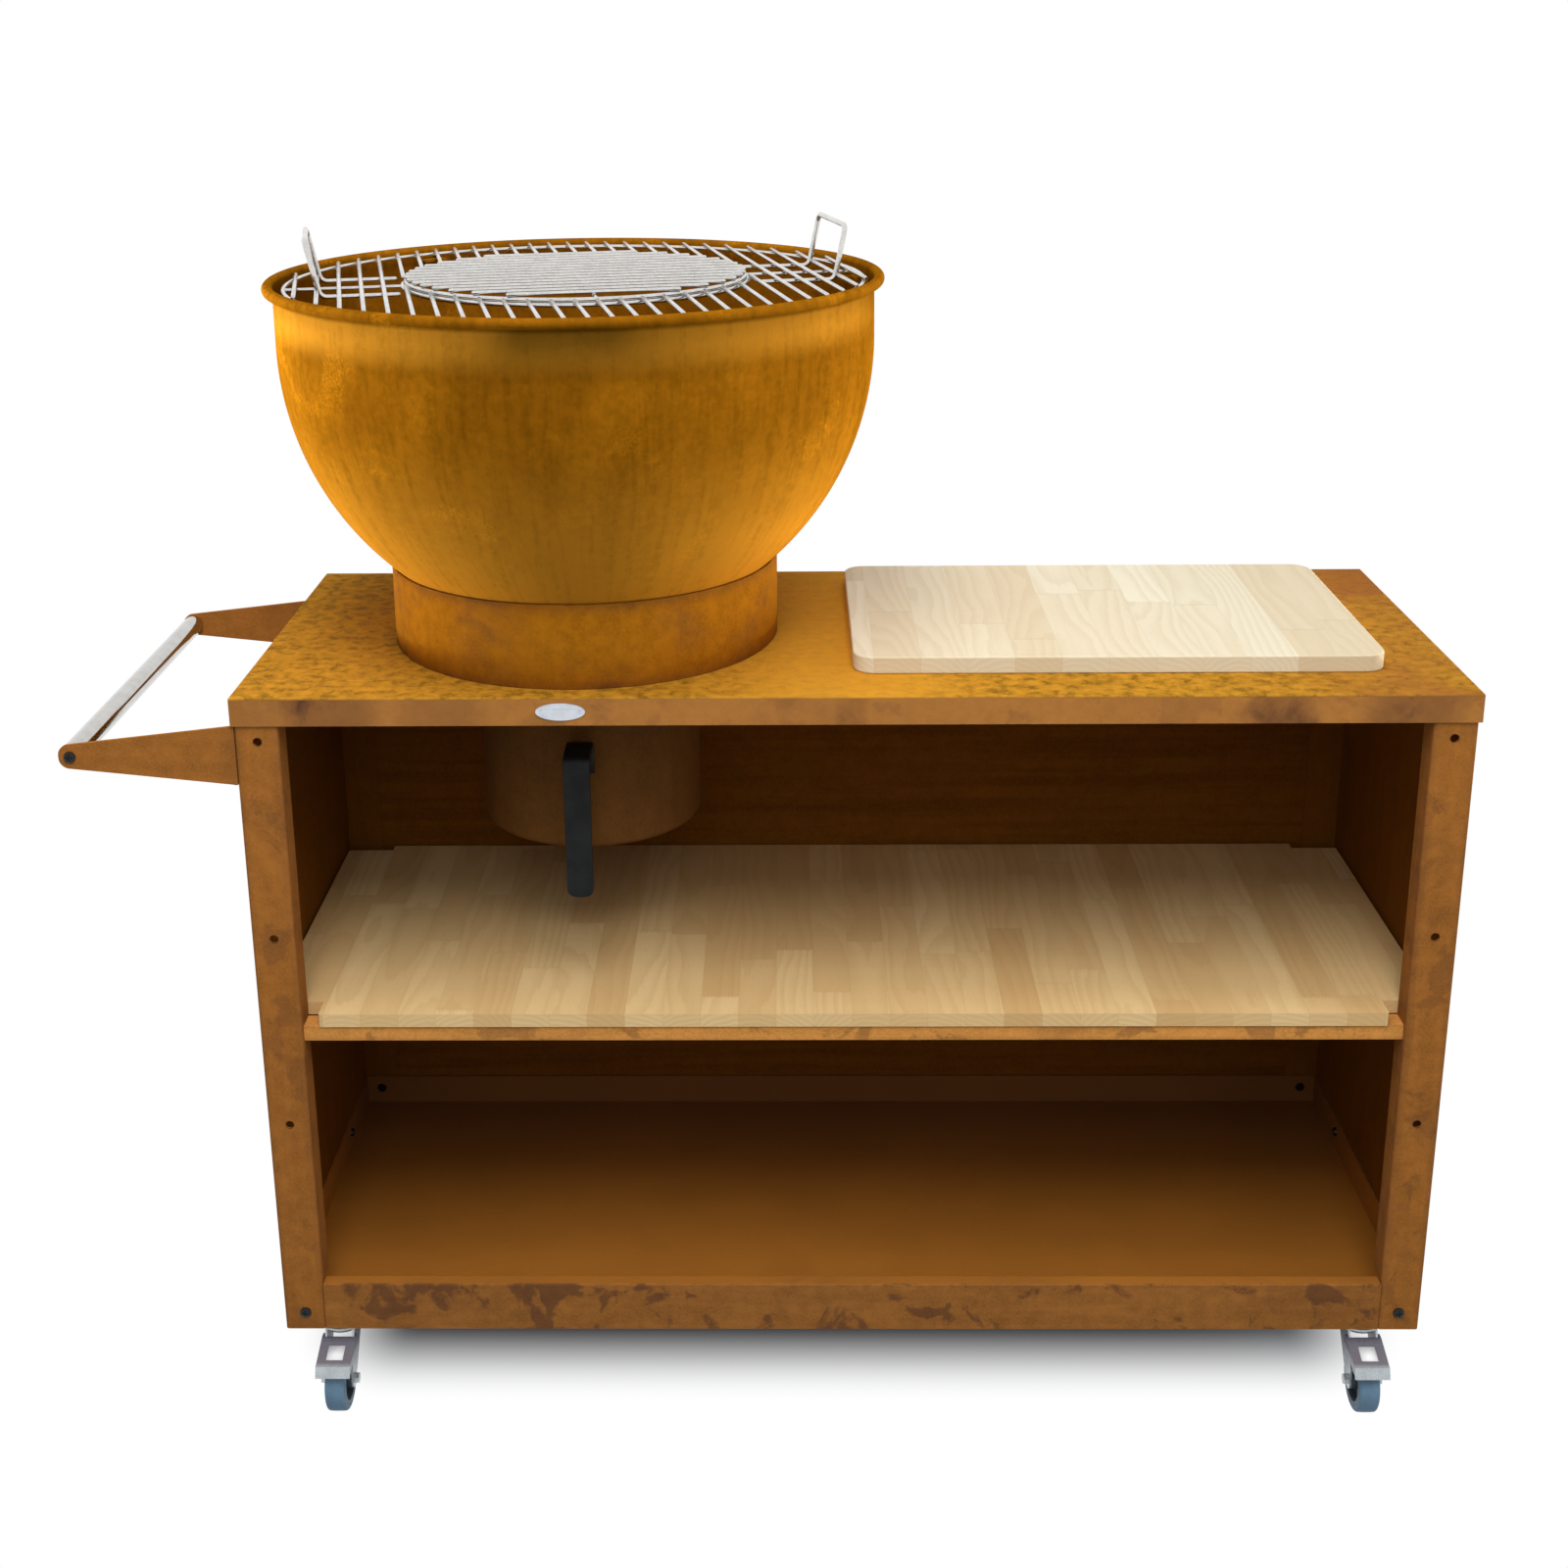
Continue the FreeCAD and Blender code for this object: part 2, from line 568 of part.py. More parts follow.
def make_side_panel(label, side):
    """Flat sheet lapped inside the side walls of two posts."""
    x = "left_face + post_sheet" if side < 0 else "right_face - side_skin"
    sheet = box("panel_sheet", "rear_wall - front_face - post_bend", "worktop_under - panel_bottom",
                x, "front_face + post_bend", "panel_bottom")
    holes = [side_tray_hole(side)]
    if side < 0:
        holes += bracket_bolt_holes("front_face + post_return / 2")
        holes += bracket_bolt_holes("rear_face - post_return / 2")
    node(label, cut(sheet, *holes))


def make_back_panel():
    """Flat sheet behind the rear posts."""
    sheet = box("2 * (half_length - post_sheet)", "panel_sheet", "worktop_under - panel_bottom",
                "left_face + post_sheet", "rear_face - panel_sheet", "panel_bottom")
    holes = [back_screw_hole(side, level) for side in (-1, 1) for level in BACK_SCREWS]
    node("back_panel", cut(sheet, *holes))


def make_tray():
    """Floor with a folded front apron and tabs behind the posts, and three lips on its edges."""
    clear = "2 * (half_length - post_flange)"
    start = "left_face + post_flange"
    side_front = "front_face + post_return + shelf_clear"
    apron_y = "front_face + post_sheet - tray_sheet"
    bottom = "tray_floor - tray_sheet"
    lip_height = "tray_top - tray_floor + tray_sheet"
    floor_rear = "rear_wall - tray_sheet"
    pieces = [
        box(clear, f"{floor_rear} - ({apron_y})", "tray_sheet", start, apron_y, bottom),
        box(clear, "tray_sheet", "tray_apron", start, apron_y, "caster_height"),
        box(clear, "tray_return", "tray_sheet", start, apron_y, "tray_top - tray_sheet"),
    ]
    rear_lip = box("2 * (half_length - side_skin)", "tray_sheet", lip_height,
                   "left_face + side_skin", floor_rear, bottom)
    lips = [cut(rear_lip, rear_tray_hole(-1), rear_tray_hole(1))]
    for side in (-1, 1):
        strip = "left_face + side_skin + tray_sheet" if side < 0 else "right_face - post_flange"
        lip = "left_face + side_skin" if side < 0 else "right_face - side_skin - tray_sheet"
        tab = "left_face + side_skin + post_bend" if side < 0 else "right_face - post_flange - tray_tab"
        pieces.append(box("post_flange - side_skin - tray_sheet", f"{floor_rear} - ({side_front})",
                          "tray_sheet", strip, side_front, bottom))
        side_lip = box("tray_sheet", f"{floor_rear} - ({side_front})", lip_height,
                       lip, side_front, bottom)
        lips.append(cut(side_lip, side_tray_hole(side)))
        pieces.append(box("post_flange - side_skin - post_bend + tray_tab", "tray_sheet",
                          "tray_apron - foot_sheet - 2 * tray_sheet", tab, "front_face + post_sheet",
                          "panel_bottom + tray_sheet"))
    holes = [screw_hole(f"cabinet_x + {side} * (half_length - post_hole_inset)", "front_face - post_sheet",
                        "caster_height + post_screw_rise", BACK, "4 * post_sheet + tray_sheet")
             for side in (-1, 1)]
    node("bottom_tray", cut(fuse(*pieces), *holes))
    node("tray_lips", group(*lips))


def make_shelf_rails():
    """Two folded rails that carry the shelf; the front one has end tabs, and the rear one laps the posts."""
    span = "2 * (half_length - post_flange)"
    start = "left_face + post_flange"
    low = "shelf_under - rail_height"
    rail_y = "front_face + rail_inset"
    tab_depth = "post_return - rail_inset"
    front = fuse(box(span, "rail_sheet", "rail_height", start, rail_y, low),
                 box(span, "rail_depth", "rail_sheet", start, rail_y, "shelf_under - rail_sheet"),
                 box("rail_sheet", tab_depth, "rail_height", start, rail_y, low),
                 box("rail_sheet", tab_depth, "rail_height",
                     "right_face - post_flange - rail_sheet", rail_y, low))
    node("shelf_front_rail", cut(front, rail_screw_hole(-1), rail_screw_hole(1)))
    width = "2 * (half_length - side_skin - shelf_clear)"
    left = "left_face + side_skin + shelf_clear"
    rear = fuse(box(width, "rail_sheet", "rail_height", left, "rear_wall - rail_sheet", low),
                box(width, "rail_depth", "rail_sheet",
                    left, "rear_wall - rail_depth", "shelf_under - rail_sheet"))
    holes = [screw_hole(f"cabinet_x + {side} * (half_length - post_hole_inset)",
                        "rear_wall - 2 * rail_sheet", "shelf_under - rail_height / 2", BACK,
                        "4 * rail_sheet")
             for side in (-1, 1)]
    node("shelf_rear_rail", cut(rear, *holes))


def make_shelf_board():
    """Wooden board, notched round the four posts."""
    tongue = "(half_length - post_flange - shelf_gap)"
    wide = "(half_length - side_skin - shelf_clear)"
    front = "front_face + shelf_inset"
    front_notch = "front_face + post_return + shelf_clear"
    rear = "rear_wall - shelf_clear"
    rear_notch = f"{rear} - shelf_notch_rear"
    right = [(tongue, front), (tongue, front_notch), (wide, front_notch), (wide, rear_notch),
             (tongue, rear_notch), (tongue, rear)]
    left = [(f"-{x}", y) for x, y in reversed(right)]
    board = plate("XY_Plane", right + left, "shelf_thickness", "cabinet_x", "0", "shelf_under",
                  {"shelf_round": (0, 2, 3, 5, 6, 8, 9, 11)})
    node("shelf_board", board)


def make_collar():
    """Round band on the worktop; the bowl rests on its upper inner edge."""
    band = cut(rod("collar_radius", "collar_height", "bowl_x", "0", "worktop_top"),
               rod("collar_bore", "2 * collar_height", "bowl_x", "0", "worktop_top - collar_height / 2"))
    node("bowl_collar", band)


def make_push_handle():
    """Two tapered brackets with fixing flanges, the tube between them, and their screws and bolts."""
    taper = [("left_face", "bracket_top"), ("tube_x - tube_radius", "tube_z + tube_radius"),
             ("tube_x - tube_radius", "tube_z - tube_radius"), ("left_face", "bracket_top - bracket_root")]
    ends = (("handle_bracket_front", "front_face + bracket_sheet", "front_face",
             "front_face + post_return / 2"),
            ("handle_bracket_rear", "rear_face", "rear_face - bracket_flange",
             "rear_face - post_return / 2"))
    for label, back, flange_y, bolt_y in ends:
        arm = plate("XZ_Plane", taper, "bracket_sheet", y=back, rounds={"bracket_round": (1, 2)})
        flange = box("bracket_sheet", "bracket_flange", "bracket_root",
                     "left_face - bracket_sheet", flange_y, "bracket_top - bracket_root")
        tip = screw_hole("tube_x", f"{back} - 2 * bracket_sheet", "tube_z", BACK, "4 * bracket_sheet")
        node(label, cut(fuse(arm, flange), tip, *bracket_bolt_holes(bolt_y)))
    length = "rear_face - front_face - 2 * bracket_sheet"
    start = "front_face + bracket_sheet"
    tube = cut(rod("tube_radius", length, "tube_x", start, "tube_z", BACK),
               rod("tube_radius - tube_wall", f"{length} - 2 * tube_cap", "tube_x", f"{start} + tube_cap",
                   "tube_z", BACK),
               screw_hole("tube_x", f"{start} - tube_cap", "tube_z", BACK, f"{length} + 2 * tube_cap"))
    node("handle_tube", tube)
    reach = "bracket_sheet + tube_cap + screw_grip"
    node("handle_screws", group(screw("tube_x", "front_face", "tube_z", BACK, reach),
                                screw("tube_x", "rear_face", "tube_z", FRONT, reach)))
    bolts = [screw("left_face - bracket_sheet", bolt_y, f"bracket_middle + {step} * bracket_bolt_step",
                   RIGHT, "bracket_sheet + side_skin + screw_grip")
             for _, _, _, bolt_y in ends for step in (-1, 1)]
    node("handle_bracket_bolts", group(*bolts))


def make_badge():
    """Blank oval plate on the front apron, with two rivets."""
    oval = DOC.addObject("Part::Ellipse", "Oval")
    oval.Placement = FreeCAD.Placement(FreeCAD.Vector(), FreeCAD.Rotation(RIGHT, 90))
    oval.setExpression("MajorRadius", bound("badge_length / 2"))
    oval.setExpression("MinorRadius", bound("badge_height / 2"))
    face_y = "-worktop_depth / 2"
    middle_z = "worktop_top - worktop_apron / 2"
    place(oval, "bowl_x - badge_shift", face_y, middle_z)
    blank = DOC.addObject("Part::Extrusion", "Blank")
    blank.Base = oval
    blank.DirMode = "Custom"
    blank.Dir = FRONT
    blank.Solid = True
    blank.setExpression("LengthFwd", bound("badge_sheet"))
    node("badge_plate", cut(blank, rivet_hole(-1), rivet_hole(1)))
    rivets = []
    for side in (-1, 1):
        x = f"bowl_x - badge_shift + {side} * badge_rivet_step"
        seat = f"{face_y} - badge_sheet"
        head = rod("rivet_head_radius", "rivet_head", x, seat, middle_z, FRONT)
        shank = rod("rivet_radius", "badge_sheet + worktop_sheet", x, seat, middle_z, BACK)
        rivets.append(fuse(head, shank))
    node("badge_rivets", group(*rivets))


def make_bucket_rails():
    """Two folded rails under the worktop; their ledges carry the bucket's rim."""
    for label, side in (("bucket_rail_left", -1), ("bucket_rail_right", 1)):
        web_x = "bowl_x - slide_web - slide_sheet" if side < 0 else "bowl_x + slide_web"
        ledge_x = "bowl_x - slide_web - slide_sheet" if side < 0 else "bowl_x + slide_web - slide_ledge"
        low = "slide_seat - slide_sheet"
        web = box("slide_sheet", "slide_length", f"worktop_under - ({low})", web_x,
                  "front_face + slide_inset", low)
        ledge = box("slide_ledge + slide_sheet", "slide_length", "slide_sheet", ledge_x,
                    "front_face + slide_inset", low)
        node(label, fuse(web, ledge))


def make_cabinet_screws():
    """Black screws of posts, back panel, shelf rails and tray."""
    sides = (-1, 1)
    hole_x = "cabinet_x + {} * (half_length - post_hole_inset)"
    node("post_screws", group(*[
        screw(hole_x.format(side), "front_face", "caster_height + post_screw_rise", BACK,
              "post_sheet + tray_sheet + screw_grip") for side in sides]))
    node("back_panel_screws", group(*[
        screw(hole_x.format(side), "rear_wall", level, BACK, "post_sheet + panel_sheet + screw_grip")
        for side in sides for level in BACK_SCREWS]))
    rail_z = "shelf_under - rail_height / 2"
    rail_screws = [screw(hole_x.format(side), "rear_wall - rail_sheet", rail_z, BACK,
                         "rail_sheet + post_sheet") for side in sides]
    rail_screws += [screw(f"cabinet_x + {side} * (half_length - post_flange - rail_sheet)",
                          "front_face + (rail_inset + post_return) / 2", rail_z, RIGHT if side > 0 else LEFT,
                          "rail_sheet + post_sheet + screw_grip") for side in sides]
    node("shelf_rail_screws", group(*rail_screws))
    bolt_z = "tray_floor + tray_bolt_rise"
    bolts = [screw(hole_x.format(side), "rear_wall - tray_sheet", bolt_z, BACK, "tray_sheet + post_sheet")
             for side in sides]
    bolts += [screw(f"cabinet_x + {side} * (half_length - side_skin - tray_sheet)",
                    "rear_wall - side_bolt_back", bolt_z, RIGHT if side > 0 else LEFT,
                    "tray_sheet + panel_sheet") for side in sides]
    node("tray_bolts", group(*bolts))


def make_bowl():
    """Deep bowl: half ball, straight wall and rolled rim, with the ash chute, grate lugs and fire grate."""
    outer = fuse(lower_ball("bowl_radius", "bowl_x", "0", "bowl_middle"),
                 rod("bowl_radius", "bowl_straight", "bowl_x", "0", "bowl_middle"))
    hollow = fuse(lower_ball("bowl_bore", "bowl_x", "0", "bowl_middle"),
                  rod("bowl_bore", "2 * bowl_straight", "bowl_x", "0", "bowl_middle"))
    hole = rod("chute_radius", "chute_top - chute_bottom + bowl_wall", "bowl_x", "0", "chute_bottom")
    shell = cut(outer, hollow, hole)
    node("fire_bowl", fuse(shell, ring("rim_radius", "rim_roll_radius", "bowl_x", "0", "rim_middle")))
    length = "chute_top - chute_bottom"
    chute = cut(rod("chute_radius", length, "bowl_x", "0", "chute_bottom"),
                rod("chute_radius - chute_wall", f"2 * ({length})", "bowl_x", "0",
                    f"chute_bottom - ({length}) / 2"))
    node("ash_chute", chute)
    node("grate_lugs", group(*[make_lug(turn) for turn in (0, 120, 240)]))
    make_fire_grate()


def make_lug(turn):
    """Angle piece inside the bowl's wall that carries the main grate's ring."""
    wall = box("lug_sheet", "lug_width", "lug_height", "lug_face - lug_sheet", "-lug_width / 2",
               "lug_top - lug_height")
    ledge = box("lug_depth", "lug_width", "lug_sheet", "lug_face - lug_depth", "-lug_width / 2",
                "lug_top - lug_sheet")
    lug = fuse(wall, ledge)
    lug.Placement = FreeCAD.Placement(FreeCAD.Vector(), FreeCAD.Rotation(UP, number("lug_angle") + turn))
    return place(lug, "bowl_x", "0", "0")


def make_fire_grate():
    """Cast round grate that lies low in the bowl over the chute."""
    bore = "fire_grate_radius - fire_grate_frame"
    frame = cut(rod("fire_grate_radius", "fire_grate_height", "bowl_x", "0", "fire_grate_z"),
                rod(bore, "2 * fire_grate_height", "bowl_x", "0", "fire_grate_z - fire_grate_height / 2"))
    count = int((number("fire_grate_radius") - number("fire_grate_frame")) / number("fire_bar_pitch"))
    bars = []
    for step in range(-count, count + 1):
        middle = f"{step} * fire_bar_pitch"
        half = f"sqrt((fire_grate_radius - fire_grate_frame / 2)^2 - ({abs(step)} * fire_bar_pitch)^2)"
        bars.append(box("fire_bar_width", f"2 * {half}", "fire_grate_height",
                        f"bowl_x + {middle} - fire_bar_width / 2", f"-{half}", "fire_grate_z"))
    node("fire_grate", fuse(frame, *bars))


def turned_in_bowl(wires):
    """A group of wires built round the Z axis, set on the bowl's axis and turned."""
    held = group(*wires)
    held.Placement = FreeCAD.Placement(FreeCAD.Vector(), FreeCAD.Rotation(UP, number("grate_angle")))
    return place(held, "bowl_x", "0", "0")


def chord(radius, step):
    """Half the chord of a circle at a number of bar steps from its middle."""
    return f"sqrt(({radius})^2 - ({abs(step)} * bar_pitch)^2)"


def make_main_grate():
    """Two rings and two spokes, bars cut off at the opening, and two lifting handles."""
    tips = "centre_ring_radius + ring_wire + seat_clearance"
    ends = "grate_ring_radius + bar_overhang"
    count = int(number("grate_ring_radius") / number("bar_pitch"))
    bars = []
    for step in range(-count, count + 1):
        x = f"{step} * bar_pitch"
        outer = chord(ends, step)
        if abs(step) * number("bar_pitch") < number("opening_radius"):
            inner = f"sqrt(({tips})^2 - ({abs(step)} * bar_pitch - bar_wire)^2)"
            bars.append(rod("bar_wire", f"{outer} - {inner}", x, inner, "bar_level", BACK))
            bars.append(rod("bar_wire", f"{outer} - {inner}", x, f"-{inner}", "bar_level", FRONT))
        else:
            bars.append(rod("bar_wire", f"2 * {outer}", x, f"-{outer}", "bar_level", BACK))
    node("main_grate_bars", turned_in_bowl(bars))
    spoke = "grate_ring_radius - opening_radius"
    rings = fuse(ring("grate_ring_radius", "ring_wire", "0", "0", "ring_level"),
                 ring("opening_radius", "ring_wire", "0", "0", "ring_level"),
                 rod("bar_wire", spoke, "opening_radius", "0", "ring_level", RIGHT),
                 rod("bar_wire", spoke, "-opening_radius", "0", "ring_level", LEFT))
    node("main_grate_rings", turned_in_bowl([rings]))
    node("main_grate_handles", turned_in_bowl([make_lift(1), make_lift(-1)]))


def bent_wire(points, bend, radius):
    """Round wire along straight runs joined by tangent arcs."""
    edges = []
    start = points[0]
    for before, corner, after in zip(points, points[1:], points[2:]):
        come = (before - corner).normalize()
        leave = (after - corner).normalize()
        half = come.getAngle(leave) / 2
        trim = bend / math.tan(half)
        middle = corner + (come + leave).normalize() * (bend / math.sin(half) - bend)
        edges.append(Part.LineSegment(start, corner + come * trim).toShape())
        edges.append(Part.Arc(corner + come * trim, middle, corner + leave * trim).toShape())
        start = corner + leave * trim
    edges.append(Part.LineSegment(start, points[-1]).toShape())
    profile = Part.Wire(Part.makeCircle(radius, points[0], points[1] - points[0]))
    return Part.Wire(edges).makePipeShell([profile], True, False)


def make_lift(side):
    """Lifting handle: two feet under the bars and a leaning bow between them."""
    reach = number("lift_reach")
    rise = number("lift_height")
    out = reach + rise * math.tan(math.radians(number("lift_angle")))
    half = number("lift_width") / 2
    low = number("ring_level")
    leg = [(number("lift_foot"), low), (reach, low), (out, low + rise)]
    points = [FreeCAD.Vector(side * x, -side * half, z) for x, z in leg]
    points += [FreeCAD.Vector(side * x, side * half, z) for x, z in reversed(leg)]
    lift = DOC.addObject("Part::Feature", "Lift")
    lift.Shape = bent_wire(points, number("lift_bend"), number("ring_wire"))
    return lift


def make_centre_grate():
    """Ring with a cross wire, and bars across it; it lies on the opening's ring."""
    ends = "centre_ring_radius + bar_overhang"
    count = int(number("centre_ring_radius") / number("bar_pitch"))
    bars = []
    for step in range(-count, count + 1):
        half = chord(ends, step)
        bars.append(rod("bar_wire", f"2 * {half}", f"-{half}", f"{step} * bar_pitch", "centre_bar_level",
                        RIGHT))
    node("centre_grate_bars", turned_in_bowl(bars))
    cross = rod("bar_wire", "2 * centre_ring_radius", "0", "-centre_ring_radius", "cross_level", BACK)
    node("centre_grate_ring", turned_in_bowl([fuse(ring("centre_ring_radius", "ring_wire", "0", "0",
                                                        "centre_level"), cross)]))


def make_bucket():
    """Round bucket with a flat rim, and its bent strap grip with two screws."""
    body = fuse(rod("bucket_radius", "bucket_height", "bowl_x", "0", "bucket_bottom"),
                rod("bucket_radius + bucket_rim", "bucket_rim_sheet", "bowl_x", "0",
                    "bucket_top - bucket_rim_sheet"))
    hollow = rod("bucket_radius - bucket_wall", "bucket_height", "bowl_x", "0",
                 "bucket_bottom + bucket_wall")
    foot_screws = [grip_screw_place(step) for step in (-1, 1)]
    holes = [screw_hole("bowl_x", "-bucket_radius - 2 * bucket_wall", z, BACK, "4 * bucket_wall")
             for z in foot_screws]
    node("ash_bucket", cut(body, hollow, *holes))
    wall = "-bucket_radius"
    front = f"{wall} - grip_reach"
    strap = [(wall, "grip_top"), (front, "grip_top"), (front, "grip_top - grip_length"),
             (f"{front} + grip_sheet", "grip_top - grip_length"),
             (f"{front} + grip_sheet", "grip_top - grip_sheet"),
             (f"{wall} - grip_sheet", "grip_top - grip_sheet"),
             (f"{wall} - grip_sheet", "grip_top - grip_sheet - grip_foot"),
             (wall, "grip_top - grip_sheet - grip_foot")]
    grip = plate("YZ_Plane", strap, "grip_width", "bowl_x - grip_width / 2", rounds={"grip_round": (0, 1)})
    grip_holes = [screw_hole("bowl_x", f"{wall} - 2 * grip_sheet", z, BACK, "3 * grip_sheet")
                  for z in foot_screws]
    node("bucket_grip", cut(grip, *grip_holes))
    node("grip_screws", group(*[screw("bowl_x", f"{wall} - grip_sheet", z, BACK,
                                      "grip_sheet + bucket_wall + screw_grip") for z in foot_screws]))


def grip_screw_place(step):
    """Height of a grip screw."""
    return f"grip_top - grip_sheet - grip_foot / 2 + {step} * grip_foot / 4"


def make_cutting_board():
    """Thick wooden board with rounded corners and eased edges."""
    block = box("board_length", "board_width", "board_thickness", "cabinet_x + board_x - board_length / 2",
                "board_y - board_width / 2", "worktop_top")
    block = rounded(block, number("board_corner"), is_upright)
    node("cutting_board", rounded(block, number("board_edge"), lambda edge: not is_upright(edge)))


def make_caster_plates():
    """Top plates with race and kingpin, and their bolts."""
    plates = []
    bolts = []
    for side_x in (-1, 1):
        for side_y in (-1, 1):
            x = f"cabinet_x + {side_x} * caster_x"
            y = f"{side_y} * caster_y"
            flat = box("plate_size", "plate_size", "plate_sheet", f"{x} - plate_size / 2",
                       f"{y} - plate_size / 2", "plate_bottom")
            head_top = "crown_bottom - seat_clearance"
            top = fuse(flat, rod("race_radius", "race_height", x, y, "race_bottom"),
                       rod("kingpin_radius", f"race_bottom - ({head_top})", x, y, head_top),
                       rod("kingpin_head_radius", "kingpin_head", x, y, f"{head_top} - kingpin_head"))
            plates.append(cut(top, *foot_bolt_holes(side_x, side_y)))
            for step_x in (-1, 1):
                for step_y in (-1, 1):
                    bolt_x = f"{x} + {step_x} * plate_bolt_step"
                    bolt_y = f"{y} + {step_y} * plate_bolt_step"
                    head = rod("bolt_head_radius", "bolt_head", bolt_x, bolt_y, "plate_bottom - bolt_head")
                    shank = rod("screw_radius", "plate_sheet + foot_sheet + screw_grip", bolt_x, bolt_y,
                                "plate_bottom")
                    bolts.append(fuse(head, shank))
    node("caster_plates", group(*plates))
    node("caster_bolts", group(*bolts))


def make_caster(tag, side_x, side_y, braked):
    """Swivelling fork, axle bolt, wheel centre and tyre, with a brake pedal on the front casters."""
    x = f"cabinet_x + {side_x} * caster_x"
    y = f"{side_y} * caster_y"
    inner = "fork_gap / 2"
    cheek_outline = [("fork_back", "crown_top"), ("-fork_front", "crown_top"),
                     ("-trail - fork_eye", "wheel_radius + 2 * fork_eye"),
                     ("-trail - fork_eye", "wheel_radius - fork_eye"),
                     ("-trail + fork_eye", "wheel_radius - fork_eye"),
                     ("-trail + fork_eye", "wheel_radius"), ("fork_back", "crown_bottom - fork_eye")]
    cheeks = [plate("YZ_Plane", cheek_outline, "fork_sheet", start, rounds={"fork_eye - fork_sheet": (3, 4)})
              for start in (inner, f"-{inner} - fork_sheet")]
    across = "fork_gap + 4 * fork_sheet"
    fork_holes = [rod("kingpin_radius + running_gap", "2 * crown_height", "0", "0",
                      "crown_bottom - crown_height / 2"),
                  rod("axle_radius + running_gap", across, f"-({across}) / 2", "-trail", "wheel_radius",
                      RIGHT)]
    if braked:
        fork_holes.append(rod("pedal_pin_radius + running_gap", across, f"-({across}) / 2",
                              "-pedal_pin_front", "pedal_pin_rise", RIGHT))
    fork = cut(fuse(rod("crown_radius", "crown_height", "0", "0", "crown_bottom"), *cheeks), *fork_holes)
    node(f"caster_fork_{tag}", place(fork, x, y, "0"))
    end = "(fork_gap / 2 + fork_sheet)"
    axle = fuse(rod("axle_radius", f"2 * ({end} + axle_head)", f"-{end} - axle_head", "-trail",
                    "wheel_radius", RIGHT),
                hexagon(end, RIGHT), hexagon(f"-{end}", LEFT))
    node(f"caster_axle_{tag}", place(axle, x, y, "0"))
    node(f"wheel_centre_{tag}", place(make_wheel_centre(), x, y, "0"))
    tread = rod("wheel_radius", "tyre_width", "-tyre_width / 2", "-trail", "wheel_radius", RIGHT)
    radius = number("wheel_radius")
    tread = rounded(tread, number("tyre_round"), lambda edge: isinstance(edge.Curve, Part.Circle)
                    and abs(edge.Curve.Radius - radius) < 1e-6)
    tyre = cut(tread, rod("rim_bed", "2 * tyre_width", "-tyre_width", "-trail", "wheel_radius", RIGHT))
    node(f"tyre_{tag}", place(tyre, x, y, "0"))
    if braked:
        node(f"brake_pedal_{tag}", place(make_pedal(), x, y, "0"))


def hexagon(x, along):
    """Hexagonal head or nut of an axle, on the axle's line."""
    return primitive("Prism", {"Circumradius": "axle_head_radius", "Height": "axle_head"}, x, "-trail",
                     "wheel_radius", along)


def make_wheel_centre():
    """Hub, thin web and rim of a wheel in one moulding, bored for the axle."""
    def disc(radius, width):
        return rod(radius, width, f"-({width}) / 2", "-trail", "wheel_radius", RIGHT)

    hub_length = "fork_gap - 2 * seat_clearance"
    rim = cut(disc("rim_bed", "tyre_width"), disc("rim_bed - wheel_rim", "2 * tyre_width"))
    solid = fuse(rim, disc("rim_bed - wheel_rim / 2", "wheel_web"), disc("hub_radius", hub_length))
    return cut(solid, disc("axle_radius + running_gap", "2 * fork_gap"))


def make_pedal():
    """Bent plate over the wheel with a square window, side webs outside the fork and a pin through it."""
    skin = "pedal_sheet"
    strip = [("-pedal_start", "pedal_start_rise"), ("-pedal_fold", "pedal_fold_rise"),
             ("-pedal_tip", "pedal_tip_rise"), (f"-pedal_tip + {skin}", "pedal_tip_rise"),
             (f"-pedal_fold + {skin}", f"pedal_fold_rise - {skin}"),
             ("-pedal_start", f"pedal_start_rise - {skin}")]
    half = "(pedal_side + pedal_sheet)"
    top = plate("YZ_Plane", strip, f"2 * {half}", f"-{half}")
    window = box("pedal_window", "pedal_window", "pedal_start_rise", "-pedal_window / 2",
                 "-pedal_window_front - pedal_window", "wheel_radius")
    drop = "4 * pedal_pin_radius"
    web = [("-pedal_start", "pedal_start_rise"), ("-pedal_fold", "pedal_fold_rise"),
           ("-pedal_fold", f"pedal_fold_rise - {drop}"),
           ("-pedal_pin_front", f"pedal_pin_rise - {drop} / 2"),
           ("-pedal_pin_front + 2 * pedal_pin_radius", "pedal_pin_rise"),
           ("-pedal_pin_front", "pedal_start_rise")]
    webs = [plate("YZ_Plane", web, "pedal_sheet", start) for start in ("pedal_side", f"-{half}")]
    pin = rod("pedal_pin_radius", f"2 * {half}", f"-{half}", "-pedal_pin_front", "pedal_pin_rise", RIGHT)
    return fuse(cut(top, window), *webs, pin)


def export_parts():
    """Check every object and write one file for each named sub-part."""
    DOC.recompute()
    failed = [obj.Label for obj in DOC.Objects if {"Invalid", "Error"} & set(obj.State)]
    if failed:
        raise RuntimeError("failed objects: " + ", ".join(failed))
    for obj in NODES:
        if obj.Shape.isNull() or not obj.Shape.isValid() or not obj.Shape.Solids:
            raise RuntimeError("bad shape: " + obj.Label)
    os.makedirs("parts", exist_ok=True)
    for obj in NODES:
        obj.Shape.exportStep(os.path.join("parts", obj.Label + ".step"))


